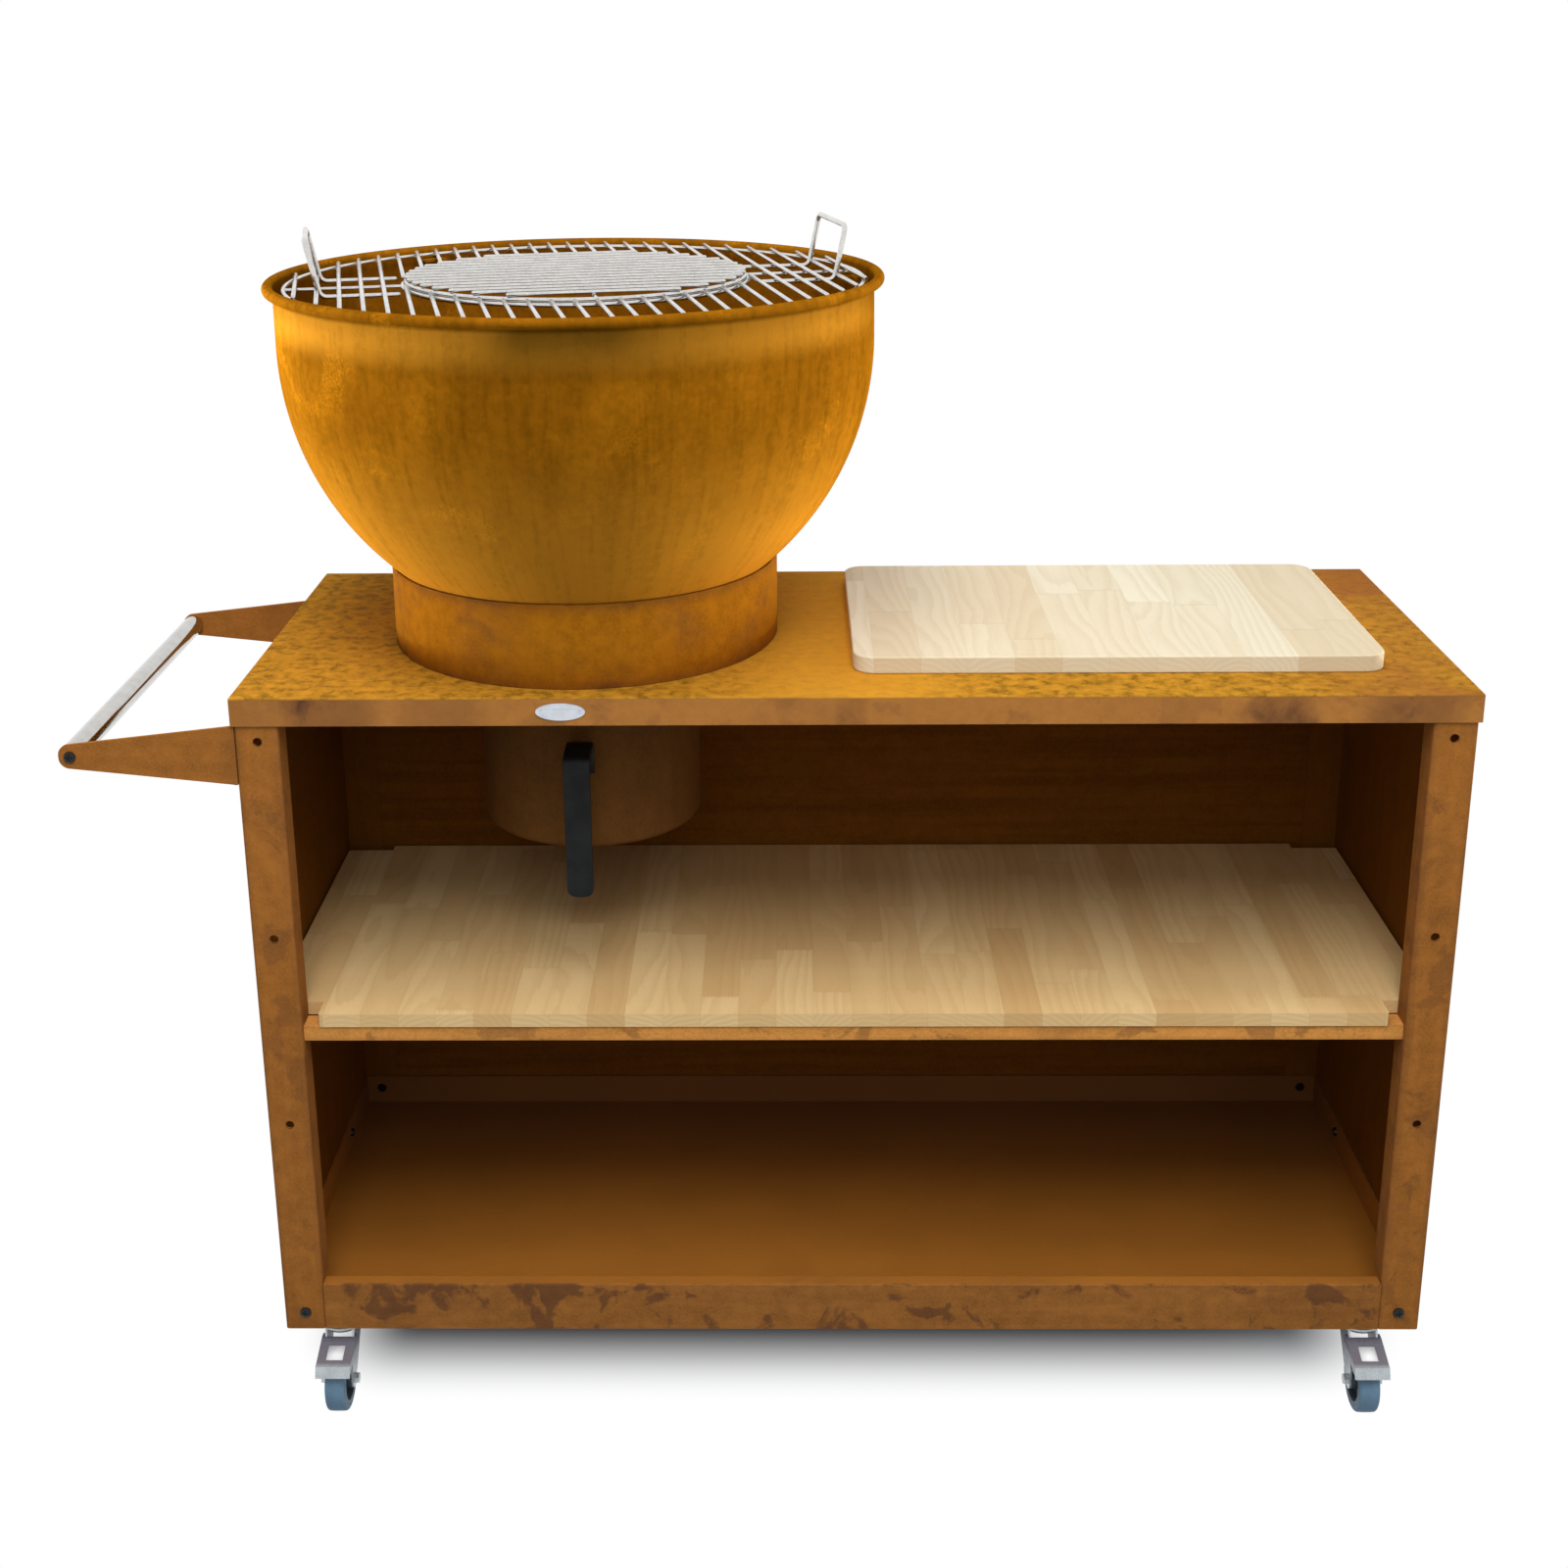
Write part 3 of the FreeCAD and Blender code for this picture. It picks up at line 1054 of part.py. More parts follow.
make_sheets()
make_worktop()
make_front_post("front_left_post", -1)
make_front_post("front_right_post", 1)
make_rear_post("rear_left_post", -1)
make_rear_post("rear_right_post", 1)
make_side_panel("left_side_panel", -1)
make_side_panel("right_side_panel", 1)
make_back_panel()
make_tray()
make_shelf_rails()
make_shelf_board()
make_collar()
make_push_handle()
make_badge()
make_bucket_rails()
make_cabinet_screws()
make_bowl()
make_main_grate()
make_centre_grate()
make_bucket()
make_cutting_board()
make_caster_plates()
for caster in (("front_left", -1, -1, True), ("front_right", 1, -1, True),
               ("rear_left", -1, 1, False), ("rear_right", 1, 1, False)):
    make_caster(*caster)
export_parts()
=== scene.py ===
import math

import bpy
import numpy as np
from mathutils import Matrix, Vector


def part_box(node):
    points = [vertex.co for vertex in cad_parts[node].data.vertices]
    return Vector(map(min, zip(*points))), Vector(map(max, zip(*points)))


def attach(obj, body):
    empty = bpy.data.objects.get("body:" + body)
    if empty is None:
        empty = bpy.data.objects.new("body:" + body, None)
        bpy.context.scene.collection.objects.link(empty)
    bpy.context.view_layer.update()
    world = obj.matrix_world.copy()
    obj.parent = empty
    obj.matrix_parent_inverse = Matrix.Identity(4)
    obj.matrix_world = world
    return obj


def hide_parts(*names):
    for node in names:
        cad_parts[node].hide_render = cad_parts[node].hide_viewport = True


bl_info = {
    "name": "Outdoor Kitchen Unit",
    "version": (1, 0, 0),
    "blender": (4, 5, 0),
    "location": "View3D > Sidebar > Kitchen",
    "description": "Dresses the outdoor kitchen: rust-patina steel, wire grates, wood, casters and the stage",
    "category": "Object",
}

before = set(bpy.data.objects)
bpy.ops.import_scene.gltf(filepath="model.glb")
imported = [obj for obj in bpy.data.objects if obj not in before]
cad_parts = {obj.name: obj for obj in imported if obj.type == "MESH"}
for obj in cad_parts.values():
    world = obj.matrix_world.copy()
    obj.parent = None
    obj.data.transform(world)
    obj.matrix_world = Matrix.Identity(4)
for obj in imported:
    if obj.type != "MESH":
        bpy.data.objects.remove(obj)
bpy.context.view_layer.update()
TAU = 2 * math.pi
CORNERS = ("front_left", "front_right", "rear_left", "rear_right")
VECTOR_INPUTS = ("Vector", "Run")
WHITE = (1, 1, 1, 1)
FAR = 9.0  # past every end of the unit
RED_END = 0.30  # length of the redder rust at the worktop's right end
PAINTED_LIGHT_X = 0.08  # middle of the painted light on the worktop next to the collar, in the bowl's shadow
SHADE_FROM_Y = -0.02  # where painted shade begins to darken the tray's floor towards the rear, under the shelf
APRON_MARKS = (  # stains on the worktop's apron: place along X, half length, strength
    (-0.570, 0.070, 0.5), (-0.470, 0.060, 1.0), (-0.350, 0.055, 0.7), (0.093, 0.020, 0.6), (0.556, 0.040, 0.9),
    (0.698, 0.055, 0.9))
POST_FACE = 0.048  # width of a front post's face
PEDAL_SLOPE, PEDAL_FOLD = 0.3, 0.079  # rise of a pedal's face to the rear; its bare lower part's height
WINDOW_DROP = 0.0063  # middle of a pedal's window below the pedal's top
INSERT_PLAY, INSERT_TOP, INSERT_UNDER = 0.0001, 0.0008, 0.0022  # gap round an insert; its faces below the pedal's
SWIVEL_INSET, RACE_RADIUS, CROWN_RADIUS = 0.030, 0.0228, 0.0264  # a caster's axis from its plate's edge; its rings
# Sections of the swivel rings: step from the ring's radius, share of the bulge, height from the fork's crown.
RACE = ((-0.0013, 0, 0.0005), (0, 0, 0.0006), (0, 1, 0.0028), (-0.0004, 1, 0.0052), (-0.0013, 0, 0.0056))
CROWN = ((-0.0009, 0, -0.0062), (0, 0, -0.006), (0, 1, -0.003), (-0.0002, 0, -0.0001), (-0.0009, 0, -0.0001))
BADGE_FIELD = 0.6  # height of the badge within its raised edge, as a share of the plate
RIVET_HEAD = ((0.0018, -0.0004), (0.0018, 0.0002), (0.0014, 0.0007), (0.0008, 0.0009), (0.0001, 0.001))
FREE_HOLES = 3  # open holes in each front post
TIP_STEPS = 12  # rows of points along the strap grip's rounded end
SHELF_STAVE, BOARD_STAVE = (0.043, 0.31), (0.052, 0.46)  # width and length of a stave
CROSS_SINK = 0.84  # centre grate's cross wire below its bars, as a share of the wire's radius
FLOOR_REACH = 14  # floor from its middle to its sides
SHADOW_INSET, SHADOW_HALF, SHADOW_FADE = 0.12, 0.08, 0.16  # core of the floor's shadow, and its fading edge


def linear(code):
    """Scene-linear colour of a #rrggbb code."""
    parts = [int(code[i:i + 2], 16) / 255 for i in (1, 3, 5)]
    return tuple(p / 12.92 if p <= 0.04045 else ((p + 0.055) / 1.055) ** 2.4 for p in parts)


def number(name, description, default, **kind):
    """A number that a user can change."""
    return bpy.props.FloatProperty(name=name, description=description, default=default, **kind)


def size(name, description, metres):
    """A length that a user can change."""
    return number(name, description, metres, unit="LENGTH", precision=4)


def angle(name, description, degrees):
    """An angle that a user can change."""
    return number(name, description, math.radians(degrees), subtype="ANGLE")


def tint(name, description, code):
    """A colour that a user can change."""
    return bpy.props.FloatVectorProperty(name=name, description=description, default=linear(code), size=3,
                                         min=0, max=1, subtype="COLOR")


class KitchenSizes(bpy.types.PropertyGroup):
    """Lengths of the dressed pieces."""
    bowl_wall: size("Bowl wall", "Sheet thickness of the fire bowl", 0.003)
    bowl_straight: size("Bowl straight wall", "Upright wall between the bowl's round part and its rim", 0.066)
    rim_roll: size("Rim roll", "Radius of the bowl's rolled rim", 0.006)
    rim_bite: size("Rim bite", "How far the rolled rim is sunk into the wall", 0.001)
    chute_radius: size("Chute radius", "Outer radius of the ash chute", 0.060)
    collar_wall: size("Collar wall", "Sheet thickness of the collar", 0.003)
    grate_turn: angle("Grate turn", "Turn of the grates in the bowl", 12)
    ring_wire: size("Ring wire", "Radius of the grates' ring wire", 0.003)
    bar_wire: size("Bar wire", "Radius of the grates' bar wire", 0.0025)
    bar_pitch: size("Bar pitch", "Step from bar to bar", 0.024)
    bar_overhang: size("Bar overhang", "Bar ends beyond the middle of their ring", 0.002)
    ring_play: size("Ring play", "Gap between the centre grate's ring and the bars round it", 0.0003)
    opening_radius: size("Opening radius", "Middle radius of the main grate's inner ring", 0.194)
    lift_width: size("Lift width", "Width of a lifting handle", 0.132)
    lift_reach: size("Lift reach", "Foot bend of a lifting handle from the grate's axis", 0.284)
    lift_start: size("Lift start", "Tips of a lifting handle's feet from the grate's axis", 0.198)
    lift_bend: size("Lift bend", "Bend radius of a lifting handle", 0.009)
    lift_lean: angle("Lift lean", "Outward lean of a lifting handle", 12)
    bucket_rim: size("Bucket rim", "Width of the bucket's flat rim", 0.015)
    bucket_rim_sheet: size("Bucket rim sheet", "Thickness of the bucket's rim", 0.002)
    bucket_wall: size("Bucket wall", "Sheet thickness of the bucket", 0.0015)
    bucket_round: size("Bucket round", "Radius at the bucket's bottom edge", 0.009)
    grip_sheet: size("Grip thickness", "Thickness of the bucket's strap grip", 0.006)
    grip_bend: size("Grip bend", "Bend radius of the strap grip", 0.009)
    grip_tip: size("Grip tip", "Rounding of the strap grip's lower end", 0.010)
    grip_foot: size("Grip foot", "Height of the strap grip's fixing foot", 0.034)
    badge_bead: size("Badge bead", "Width of the badge's raised edge", 0.0014)
    rivet_step: size("Rivet step", "Rivet from the badge's middle", 0.021)
    screw_head: size("Screw head", "Height of a screw head", 0.0035)
    hole_edge: size("Hole edge", "Width of the bare edge round a post's holes", 0.0003)
    hole_radius: size("Hole radius", "Radius of the holes in the front posts", 0.00475)
    hole_inset: size("Hole inset", "Holes of a post from its outer side", 0.025)
    hole_top: size("Top hole", "Topmost hole of a post above the floor", 0.853)
    hole_step: size("Hole step", "Step down from hole to hole", 0.235)
    tyre_height: size("Tyre height", "Thickness of a tyre's tread", 0.008)
    tyre_round: size("Tyre shoulder", "Shoulder radius of a tyre", 0.0034)
    window: size("Pedal window", "Side of the window in a brake pedal", 0.020)
    window_front: size("Window place", "Rear edge of the window before the swivel axis", 0.041)
    race_bulge: size("Race bulge", "How far the pressed swivel rings stand out", 0.0016)


class KitchenColours(bpy.types.PropertyGroup):
    """Colours of the finishes."""
    bowl_dark: tint("Bowl shade", "Darker streaks on the bowl", "#563503")
    bowl_body: tint("Bowl patina", "Main colour of the bowl", "#824F0A")
    bowl_bright: tint("Bowl bloom", "Brightest rust on the bowl", "#BC7812")
    # painted light: the colour that lightens the bowl's front near its foot and under its rim, where shade falls
    bowl_painted_light: tint("Bowl pale", "Rust near the bowl's rim and foot", "#DE962A")
    collar_body: tint("Collar patina", "Main colour of the collar", "#985E10")
    top_body: tint("Worktop patina", "Main colour of the worktop", "#8D631B")
    apron_body: tint("Apron patina", "Main colour of the worktop's apron", "#C58440")
    post_body: tint("Post patina", "Main colour of the posts", "#9A622B")
    tray_body: tint("Tray patina", "Main colour of the bottom tray", "#9A642E")
    tray_floor: tint("Tray floor patina", "Main colour of the tray's floor", "#A06526")
    rail_body: tint("Rail patina", "Main colour of the shelf rails", "#CC8C45")
    # painted shade: the cabinet's steel made darker for the parts inside it
    inner_shaded_body: tint("Inner patina", "Main colour of the panels", "#6B3F0F")
    bucket_body: tint("Bucket patina", "Main colour of the ash bucket", "#603E1C")
    # this colour is used for real stains and also paints the shade on the tray's floor towards its rear
    stain_and_shade: tint("Steel stain", "Mill-scale stains along folds", "#4E342A")
    rust: tint("Red rust", "Redder rust at the worktop's right end", "#8A5228")
    shelf_pale: tint("Shelf pale", "Pale staves of the shelf", "#E0C08A")
    shelf_warm: tint("Shelf warm", "Warm staves of the shelf", "#C59C65")
    board_pale: tint("Board pale", "Pale staves of the cutting board", "#D8D1BA")
    board_warm: tint("Board warm", "Warm staves of the cutting board", "#C4B18E")
    wire: tint("Wire", "Bright steel of the grates", "#E4E2DE")
    tube: tint("Tube", "Polished steel of the push handle", "#D2D0CC")
    zinc: tint("Zinc", "Zinc plating of the casters", "#B9C0C4")
    pedal: tint("Pedal", "Passivated steel of the brake pedals", "#8C8996")
    black: tint("Black", "Black screws and grip", "#0C0D0E")
    tyre: tint("Tyre", "Blue-grey rubber", "#5C788C")
    wheel: tint("Wheel centre", "Moulded wheel centre", "#3A4650")
    badge: tint("Badge", "Blank badge plate", "#DDE2EA")
    iron: tint("Fire grate", "Cast iron", "#2A2623")
    insert: tint("Pedal insert", "Blank insert in a brake pedal's window", "#E4E6E8")
    floor: tint("Floor", "Studio floor", "#8F96A0")


class KitchenCamera(bpy.types.PropertyGroup):
    """Camera and studio light."""
    place: bpy.props.FloatVectorProperty(name="Place", description="Camera position", size=3, unit="LENGTH",
                                         default=(0.0246, -2.3221, 1.6243))
    pitch: angle("Pitch", "Downward tilt", 17.11)
    yaw: angle("Yaw", "Turn to the right", -0.85)
    roll: angle("Roll", "Turn about the line of sight", -0.48)
    lens: number("Lens", "Focal length in millimetres", 46.91)
    shift_x: number("Shift X", "Sideways lens shift", 0.01625)
    shift_y: number("Shift Y", "Upward lens shift", -0.1023)
    ambient: number("Ambient", "Even light from all round", 0.45)


def mesh_object(name, vertices, faces, material):
    """A smooth mesh object at the origin; its place is in its vertices."""
    mesh = bpy.data.meshes.new(name)
    mesh.from_pydata(vertices.tolist(), [], faces)
    mesh.polygons.foreach_set("use_smooth", np.ones(len(faces), bool))
    mesh.update()
    mesh.materials.append(material)
    obj = bpy.data.objects.new(name, mesh)
    bpy.context.scene.collection.objects.link(obj)
    return obj


def grid_faces(rows, columns, wrap_rows, wrap_columns):
    """Quads of a grid whose point (i, j) has the number i * columns + j."""
    i = np.arange(rows if wrap_rows else rows - 1)
    j = np.arange(columns if wrap_columns else columns - 1)
    i, j = (a.ravel() for a in np.meshgrid(i, j, indexing="ij"))
    up, along = (i + 1) % rows, (j + 1) % columns
    return np.stack([i * columns + j, i * columns + along, up * columns + along, up * columns + j], 1)


def grids_object(name, grids, material, wrap_rows=False, wrap_columns=True, caps=False):
    """One object made of several grids of points with shape (rows, columns, 3); caps close first and last rows."""
    vertices, faces, start = [], [], 0
    for grid in grids:
        rows, columns = grid.shape[:2]
        vertices.append(grid.reshape(-1, 3))
        faces += (grid_faces(rows, columns, wrap_rows, wrap_columns) + start).tolist()
        end = start + rows * columns
        if caps:
            faces.append(list(range(start + columns - 1, start - 1, -1)))
            faces.append(list(range(end - columns, end)))
        start = end
    return mesh_object(name, np.concatenate(vertices), faces, material)


def frame_of(axis):
    """Two unit vectors across an axis, right-handed with it."""
    axis = np.asarray(axis, float) / np.linalg.norm(axis)
    helper = np.array([1.0, 0, 0]) if abs(axis[0]) < 0.9 else np.array([0, 1.0, 0])
    first = np.cross(helper, axis)
    first /= np.linalg.norm(first)
    return first, np.cross(axis, first), axis


def revolve(profile, centre, axis=(0, 0, 1), steps=96):
    """P(t, a) = centre + r(t) (cos a N + sin a B) + h(t) axis, from a profile of radius and height."""
    first, second, along = frame_of(axis)
    turn = np.linspace(0, TAU, steps, endpoint=False)
    ring = np.cos(turn)[:, None] * first + np.sin(turn)[:, None] * second
    radius, height = np.asarray(profile, float).T
    return np.asarray(centre, float) + radius[:, None, None] * ring + height[:, None, None] * along


def arc(centre, radius, start, end, count):
    """Points of a circle in the profile's plane, from one angle to another, in degrees."""
    turn = np.radians(np.linspace(start, end, count))
    return np.stack([centre[0] + radius * np.cos(turn), centre[1] + radius * np.sin(turn)], 1)


def tube(path, radius, sides=14):
    """P(s, a) = C(s) + r(s) (cos a N(s) + sin a B(s)) along a line of points; r falls to domed ends."""
    path = np.asarray(path, float)
    tangent = np.gradient(path, axis=0)
    tangent /= np.linalg.norm(tangent, axis=1)[:, None]
    normals = [frame_of(tangent[0])[0]]
    for step in tangent[1:]:
        side = normals[-1] - step * (normals[-1] @ step)
        normals.append(side / np.linalg.norm(side))
    dome = np.array([0.15, 0.6, 0.88, 1.0])
    back = radius * (1 - np.sqrt(1 - dome ** 2))
    head = path[0] + tangent[0] * back[:, None]
    tail = path[-1] - tangent[-1] * back[::-1, None]
    path = np.concatenate([head, path[1:-1], tail])
    rows = [0] * 3 + list(range(len(tangent))) + [len(tangent) - 1] * 3
    tangent, normals = tangent[rows], np.array(normals)[rows]
    scale = np.concatenate([dome, np.ones(len(path) - 8), dome[::-1]])
    turn = np.linspace(0, TAU, sides, endpoint=False)
    across = np.cross(tangent, normals)
    ring = np.cos(turn)[:, None] * normals[:, None] + np.sin(turn)[:, None] * across[:, None]
    return path[:, None] + radius * scale[:, None, None] * ring


def rounded_path(points, bend, arc_steps=8):
    """Straight runs joined by tangent arcs of one radius."""
    points = np.asarray(points, float)
    line = [points[0]]
    for before, corner, after in zip(points, points[1:], points[2:]):
        come = (before - corner) / np.linalg.norm(before - corner)
        leave = (after - corner) / np.linalg.norm(after - corner)
        half = math.acos(float(np.clip(come @ leave, -1, 1))) / 2
        centre = corner + (come + leave) / np.linalg.norm(come + leave) * bend / math.sin(half)
        start = corner + come * bend / math.tan(half) - centre
        end = corner + leave * bend / math.tan(half) - centre
        turn = math.pi - 2 * half
        share = np.linspace(0, 1, arc_steps)[:, None]
        line += list(centre + (np.sin((1 - share) * turn) * start + np.sin(share * turn) * end) / math.sin(turn))
    line.append(points[-1])
    return np.array(line)


def cross_screw(centre, axis, radius, height):
    """P(q, a) = centre + R q (cos a N + sin a B) + h axis; h is a dome less a cross-shaped recess."""
    first, second, along = frame_of(axis)
    reach = np.concatenate([[1.0, 1.0], np.linspace(0.985, 0.03, 26)])[:, None]
    turn = np.linspace(0, TAU, 72, endpoint=False)[None]
    u, v = reach * np.cos(turn), reach * np.sin(turn)
    dome = 0.45 + 0.55 * np.sqrt(np.clip(1 - reach ** 2, 0, 1))
    dome[0] = 0.0
    arm, breadth, depth = 0.6, 0.17, 0.45
    slot = np.clip((arm - np.maximum(abs(u), abs(v))) / 0.12, 0, 1)
    slot = slot * np.clip((breadth - np.minimum(abs(u), abs(v))) / 0.08, 0, 1)
    lift = height * (dome - depth * slot)
    flat = radius * (u[..., None] * first + v[..., None] * second)
    return np.asarray(centre, float) + flat + lift[..., None] * along


class Field:
    """A value in a node tree; each sign of arithmetic adds a math node, on numbers or on vectors."""

    def __init__(self, nodes, socket):
        self.nodes, self.socket = nodes, socket

    def __add__(self, other):
        return self.nodes.math("ADD", self, other)

    def __sub__(self, other):
        return self.nodes.math("SUBTRACT", self, other)

    def __mul__(self, other):
        return self.nodes.math("MULTIPLY", self, other)

    def __truediv__(self, other):
        return self.nodes.math("DIVIDE", self, other)


class Nodes:
    """Short calls that add nodes to a tree and join them."""

    def __init__(self, tree):
        self.tree = tree

    def put(self, kind, inputs=None, **settings):
        """A node with its settings, and with each named input set or linked."""
        node = self.tree.nodes.new("ShaderNode" + kind)
        for name, value in settings.items():
            setattr(node, name, value)
        for name, value in (inputs or {}).items():
            if isinstance(value, Field):
                self.tree.links.new(value.socket, node.inputs[name])
            else:
                node.inputs[name].default_value = value
        return node

    def take(self, kind, inputs=None, output=0, **settings):
        """One value that a new node gives."""
        return Field(self, self.put(kind, inputs, **settings).outputs[output])

    def values(self, kind, inputs=None, **settings):
        """All values that a new node gives, by name."""
        return {socket.name: Field(self, socket) for socket in self.put(kind, inputs, **settings).outputs}

    def math(self, operation, *inputs, **settings):
        """One arithmetic step; a vector as first input makes it a step on vectors."""
        kind = "VectorMath" if inputs[0].socket.type == "VECTOR" else "Math"
        return self.take(kind, dict(enumerate(inputs)), operation=operation, **settings)

    def most(self, first, *others):
        """The greatest of several values."""
        for other in others:
            first = self.math("MAXIMUM", first, other)
        return first

    def away(self, value, place):
        """Distance of a value from a place."""
        return self.math("ABSOLUTE", value - place)

    def mix(self, colour, *layers):
        """A colour under layers, each a mask and a colour."""
        for mask, over in layers:
            under, over = (value if isinstance(value, Field) else (*value, 1.0) for value in (colour, over))
            colour = self.take("Mix", {0: mask, 6: under, 7: over}, 2, data_type="RGBA")
        return colour

    def noise(self, vector, scale, detail, roughness, distortion=0.0):
        """Fractal noise from 0 to 1."""
        return self.take("TexNoise", {"Vector": vector, "Scale": scale, "Detail": detail, "Roughness": roughness,
                                      "Distortion": distortion})

    def span(self, value, low, high, start=0.0, end=1.0):
        """A smooth step from start to end as the value goes from low to high."""
        return self.take("MapRange", {"Value": value, "From Min": low, "From Max": high, "To Min": start,
                                      "To Max": end}, interpolation_type="SMOOTHSTEP")

    def grain(self, vector, scale, detail, roughness, distortion, low, high):
        """Fractal noise, spread so that low becomes 0 and high becomes 1."""
        return self.span(self.noise(vector, scale, detail, roughness, distortion), low, high)

    def split(self, vector):
        """The three parts of a vector."""
        return list(self.values("SeparateXYZ", {0: vector}).values())

    def group(self, name, fill, inputs):
        """The values of a shared node group, by name; fill adds its nodes when it is first used."""
        tree = bpy.data.node_groups.get(name) or new_group(name, fill, inputs)
        return self.values("Group", inputs, node_tree=tree)


def new_group(name, fill, inputs):
    """A shader node group; fill adds its nodes, and gives its float outputs by name."""
    tree = bpy.data.node_groups.new(name, "ShaderNodeTree")
    for label in inputs:
        kind = "Vector" if label in VECTOR_INPUTS else "Float"
        tree.interface.new_socket(label, in_out="INPUT", socket_type="NodeSocket" + kind)
    nodes = Nodes(tree)
    results = fill(nodes, {s.name: Field(nodes, s) for s in tree.nodes.new("NodeGroupInput").outputs})
    for label in results:
        tree.interface.new_socket(label, in_out="OUTPUT", socket_type="NodeSocketFloat")
    sink = tree.nodes.new("NodeGroupOutput").inputs
    for label, value in results.items():
        tree.links.new(value.socket, sink[label])
    return tree


def new_material(name):
    """An empty material with its shader, and the object's own coordinates."""
    material = bpy.data.materials.new(name)
    material.use_nodes = True
    material.node_tree.nodes.clear()
    nodes = Nodes(material.node_tree)
    shader = nodes.put("BsdfPrincipled")
    nodes.put("OutputMaterial", {"Surface": Field(nodes, shader.outputs[0])})
    return material, nodes, shader, nodes.take("TexCoord", output="Object")


def coat(nodes, shader, colour, roughness, specular, height, strength, depth, metallic=0.0):
    """Link colour, roughness and relief to the shader, and set its even values."""
    relief = nodes.take("Bump", {"Height": height, "Strength": strength, "Distance": depth})
    for label, value in {"Base Color": colour, "Roughness": roughness, "Normal": relief}.items():
        nodes.tree.links.new(value.socket, shader.inputs[label])
    shader.inputs["Specular IOR Level"].default_value = specular
    shader.inputs["Metallic"].default_value = metallic


def scaled(colour, factor):
    """A lighter or darker colour."""
    return tuple(min(1.0, factor * part) for part in colour)


def rust_bloom(nodes, source):
    """Broad clouds, soft blots, sharp patches, mottle and fine flecks of rust."""
    kinds = {"Cloud": (5.0, 5.0, 0.55, 0.4, 0.3, 0.7), "Blot": (11.0, 6.0, 0.62, 0.5, 0.48, 0.74),
             "Patch": (17.0, 5.0, 0.6, 0.5, 0.54, 0.61),
             "Mottle": (source["Mottle Scale"], 3.0, 0.6, 0.3, 0.28, 0.72),
             "Fleck": (340.0, 2.0, 0.5, 0.0, 0.3, 0.7)}
    return {label: nodes.grain(source["Vector"], *numbers) for label, numbers in kinds.items()}


def edge_band(nodes, source):
    """1 at the two ends of a range, falling to 0 within a width."""
    nearest = nodes.math("MINIMUM", source["Value"] - source["Low"], source["High"] - source["Value"])
    return {"Mask": nodes.span(nearest / source["Width"], 0.0, 1.0, 1.0, 0.0)}


def patina(name, body, stain_and_shade, mottle, contrast, run, run_strength=0.3, edges=(), blots=0.2, patches=0.0,
           speckle=None, tinted=None):
    """Rust patina. contrast sets clouds and, without speckle, mottle; run stretches streaks; edges are
    (axis, low, high, width, share) bands where stains gather; tinted changes the colour by place."""
    material, nodes, shader, spot = new_material(name)
    bloom = nodes.group("rust bloom", rust_bloom, {"Vector": spot, "Mottle Scale": mottle})
    fleck, mottled = bloom["Fleck"], bloom["Mottle"]
    shade, light = scaled(body, 0.55), scaled(body, 1.9 if speckle else 1.6)
    streak = nodes.grain(spot * run, 1.0, 6.0, 0.62, 0.2, 0.38, 0.68)
    colour = nodes.mix(body, (bloom["Cloud"] * contrast, shade))
    if speckle:
        colour = nodes.mix(colour, (nodes.span(mottled, 0.0, 0.45, 0.7 * speckle, 0.0), shade))
    colour = nodes.mix(colour, (mottled * (speckle or contrast), light), (streak * run_strength, shade),
                       (fleck * 0.25, light))
    if tinted:
        colour = tinted(nodes, spot, bloom, colour)
    parts = nodes.split(spot)
    mask = nodes.most(bloom["Blot"] * blots, bloom["Patch"] * patches)
    for axis, low, high, width, share in edges:
        band = nodes.group("edge band", edge_band, {"Value": parts["XYZ".index(axis)], "Low": low, "High": high,
                                                    "Width": width})["Mask"]
        mask = nodes.most(mask, band * (bloom["Blot"] * 0.65 + 0.35) * share)
    coat(nodes, shader, nodes.mix(colour, (mask, stain_and_shade)), nodes.span(mottled, 0.0, 1.0, 0.7, 0.9), 0.02,
         fleck * 0.6 + mottled, 0.25, 0.0005)
    return material


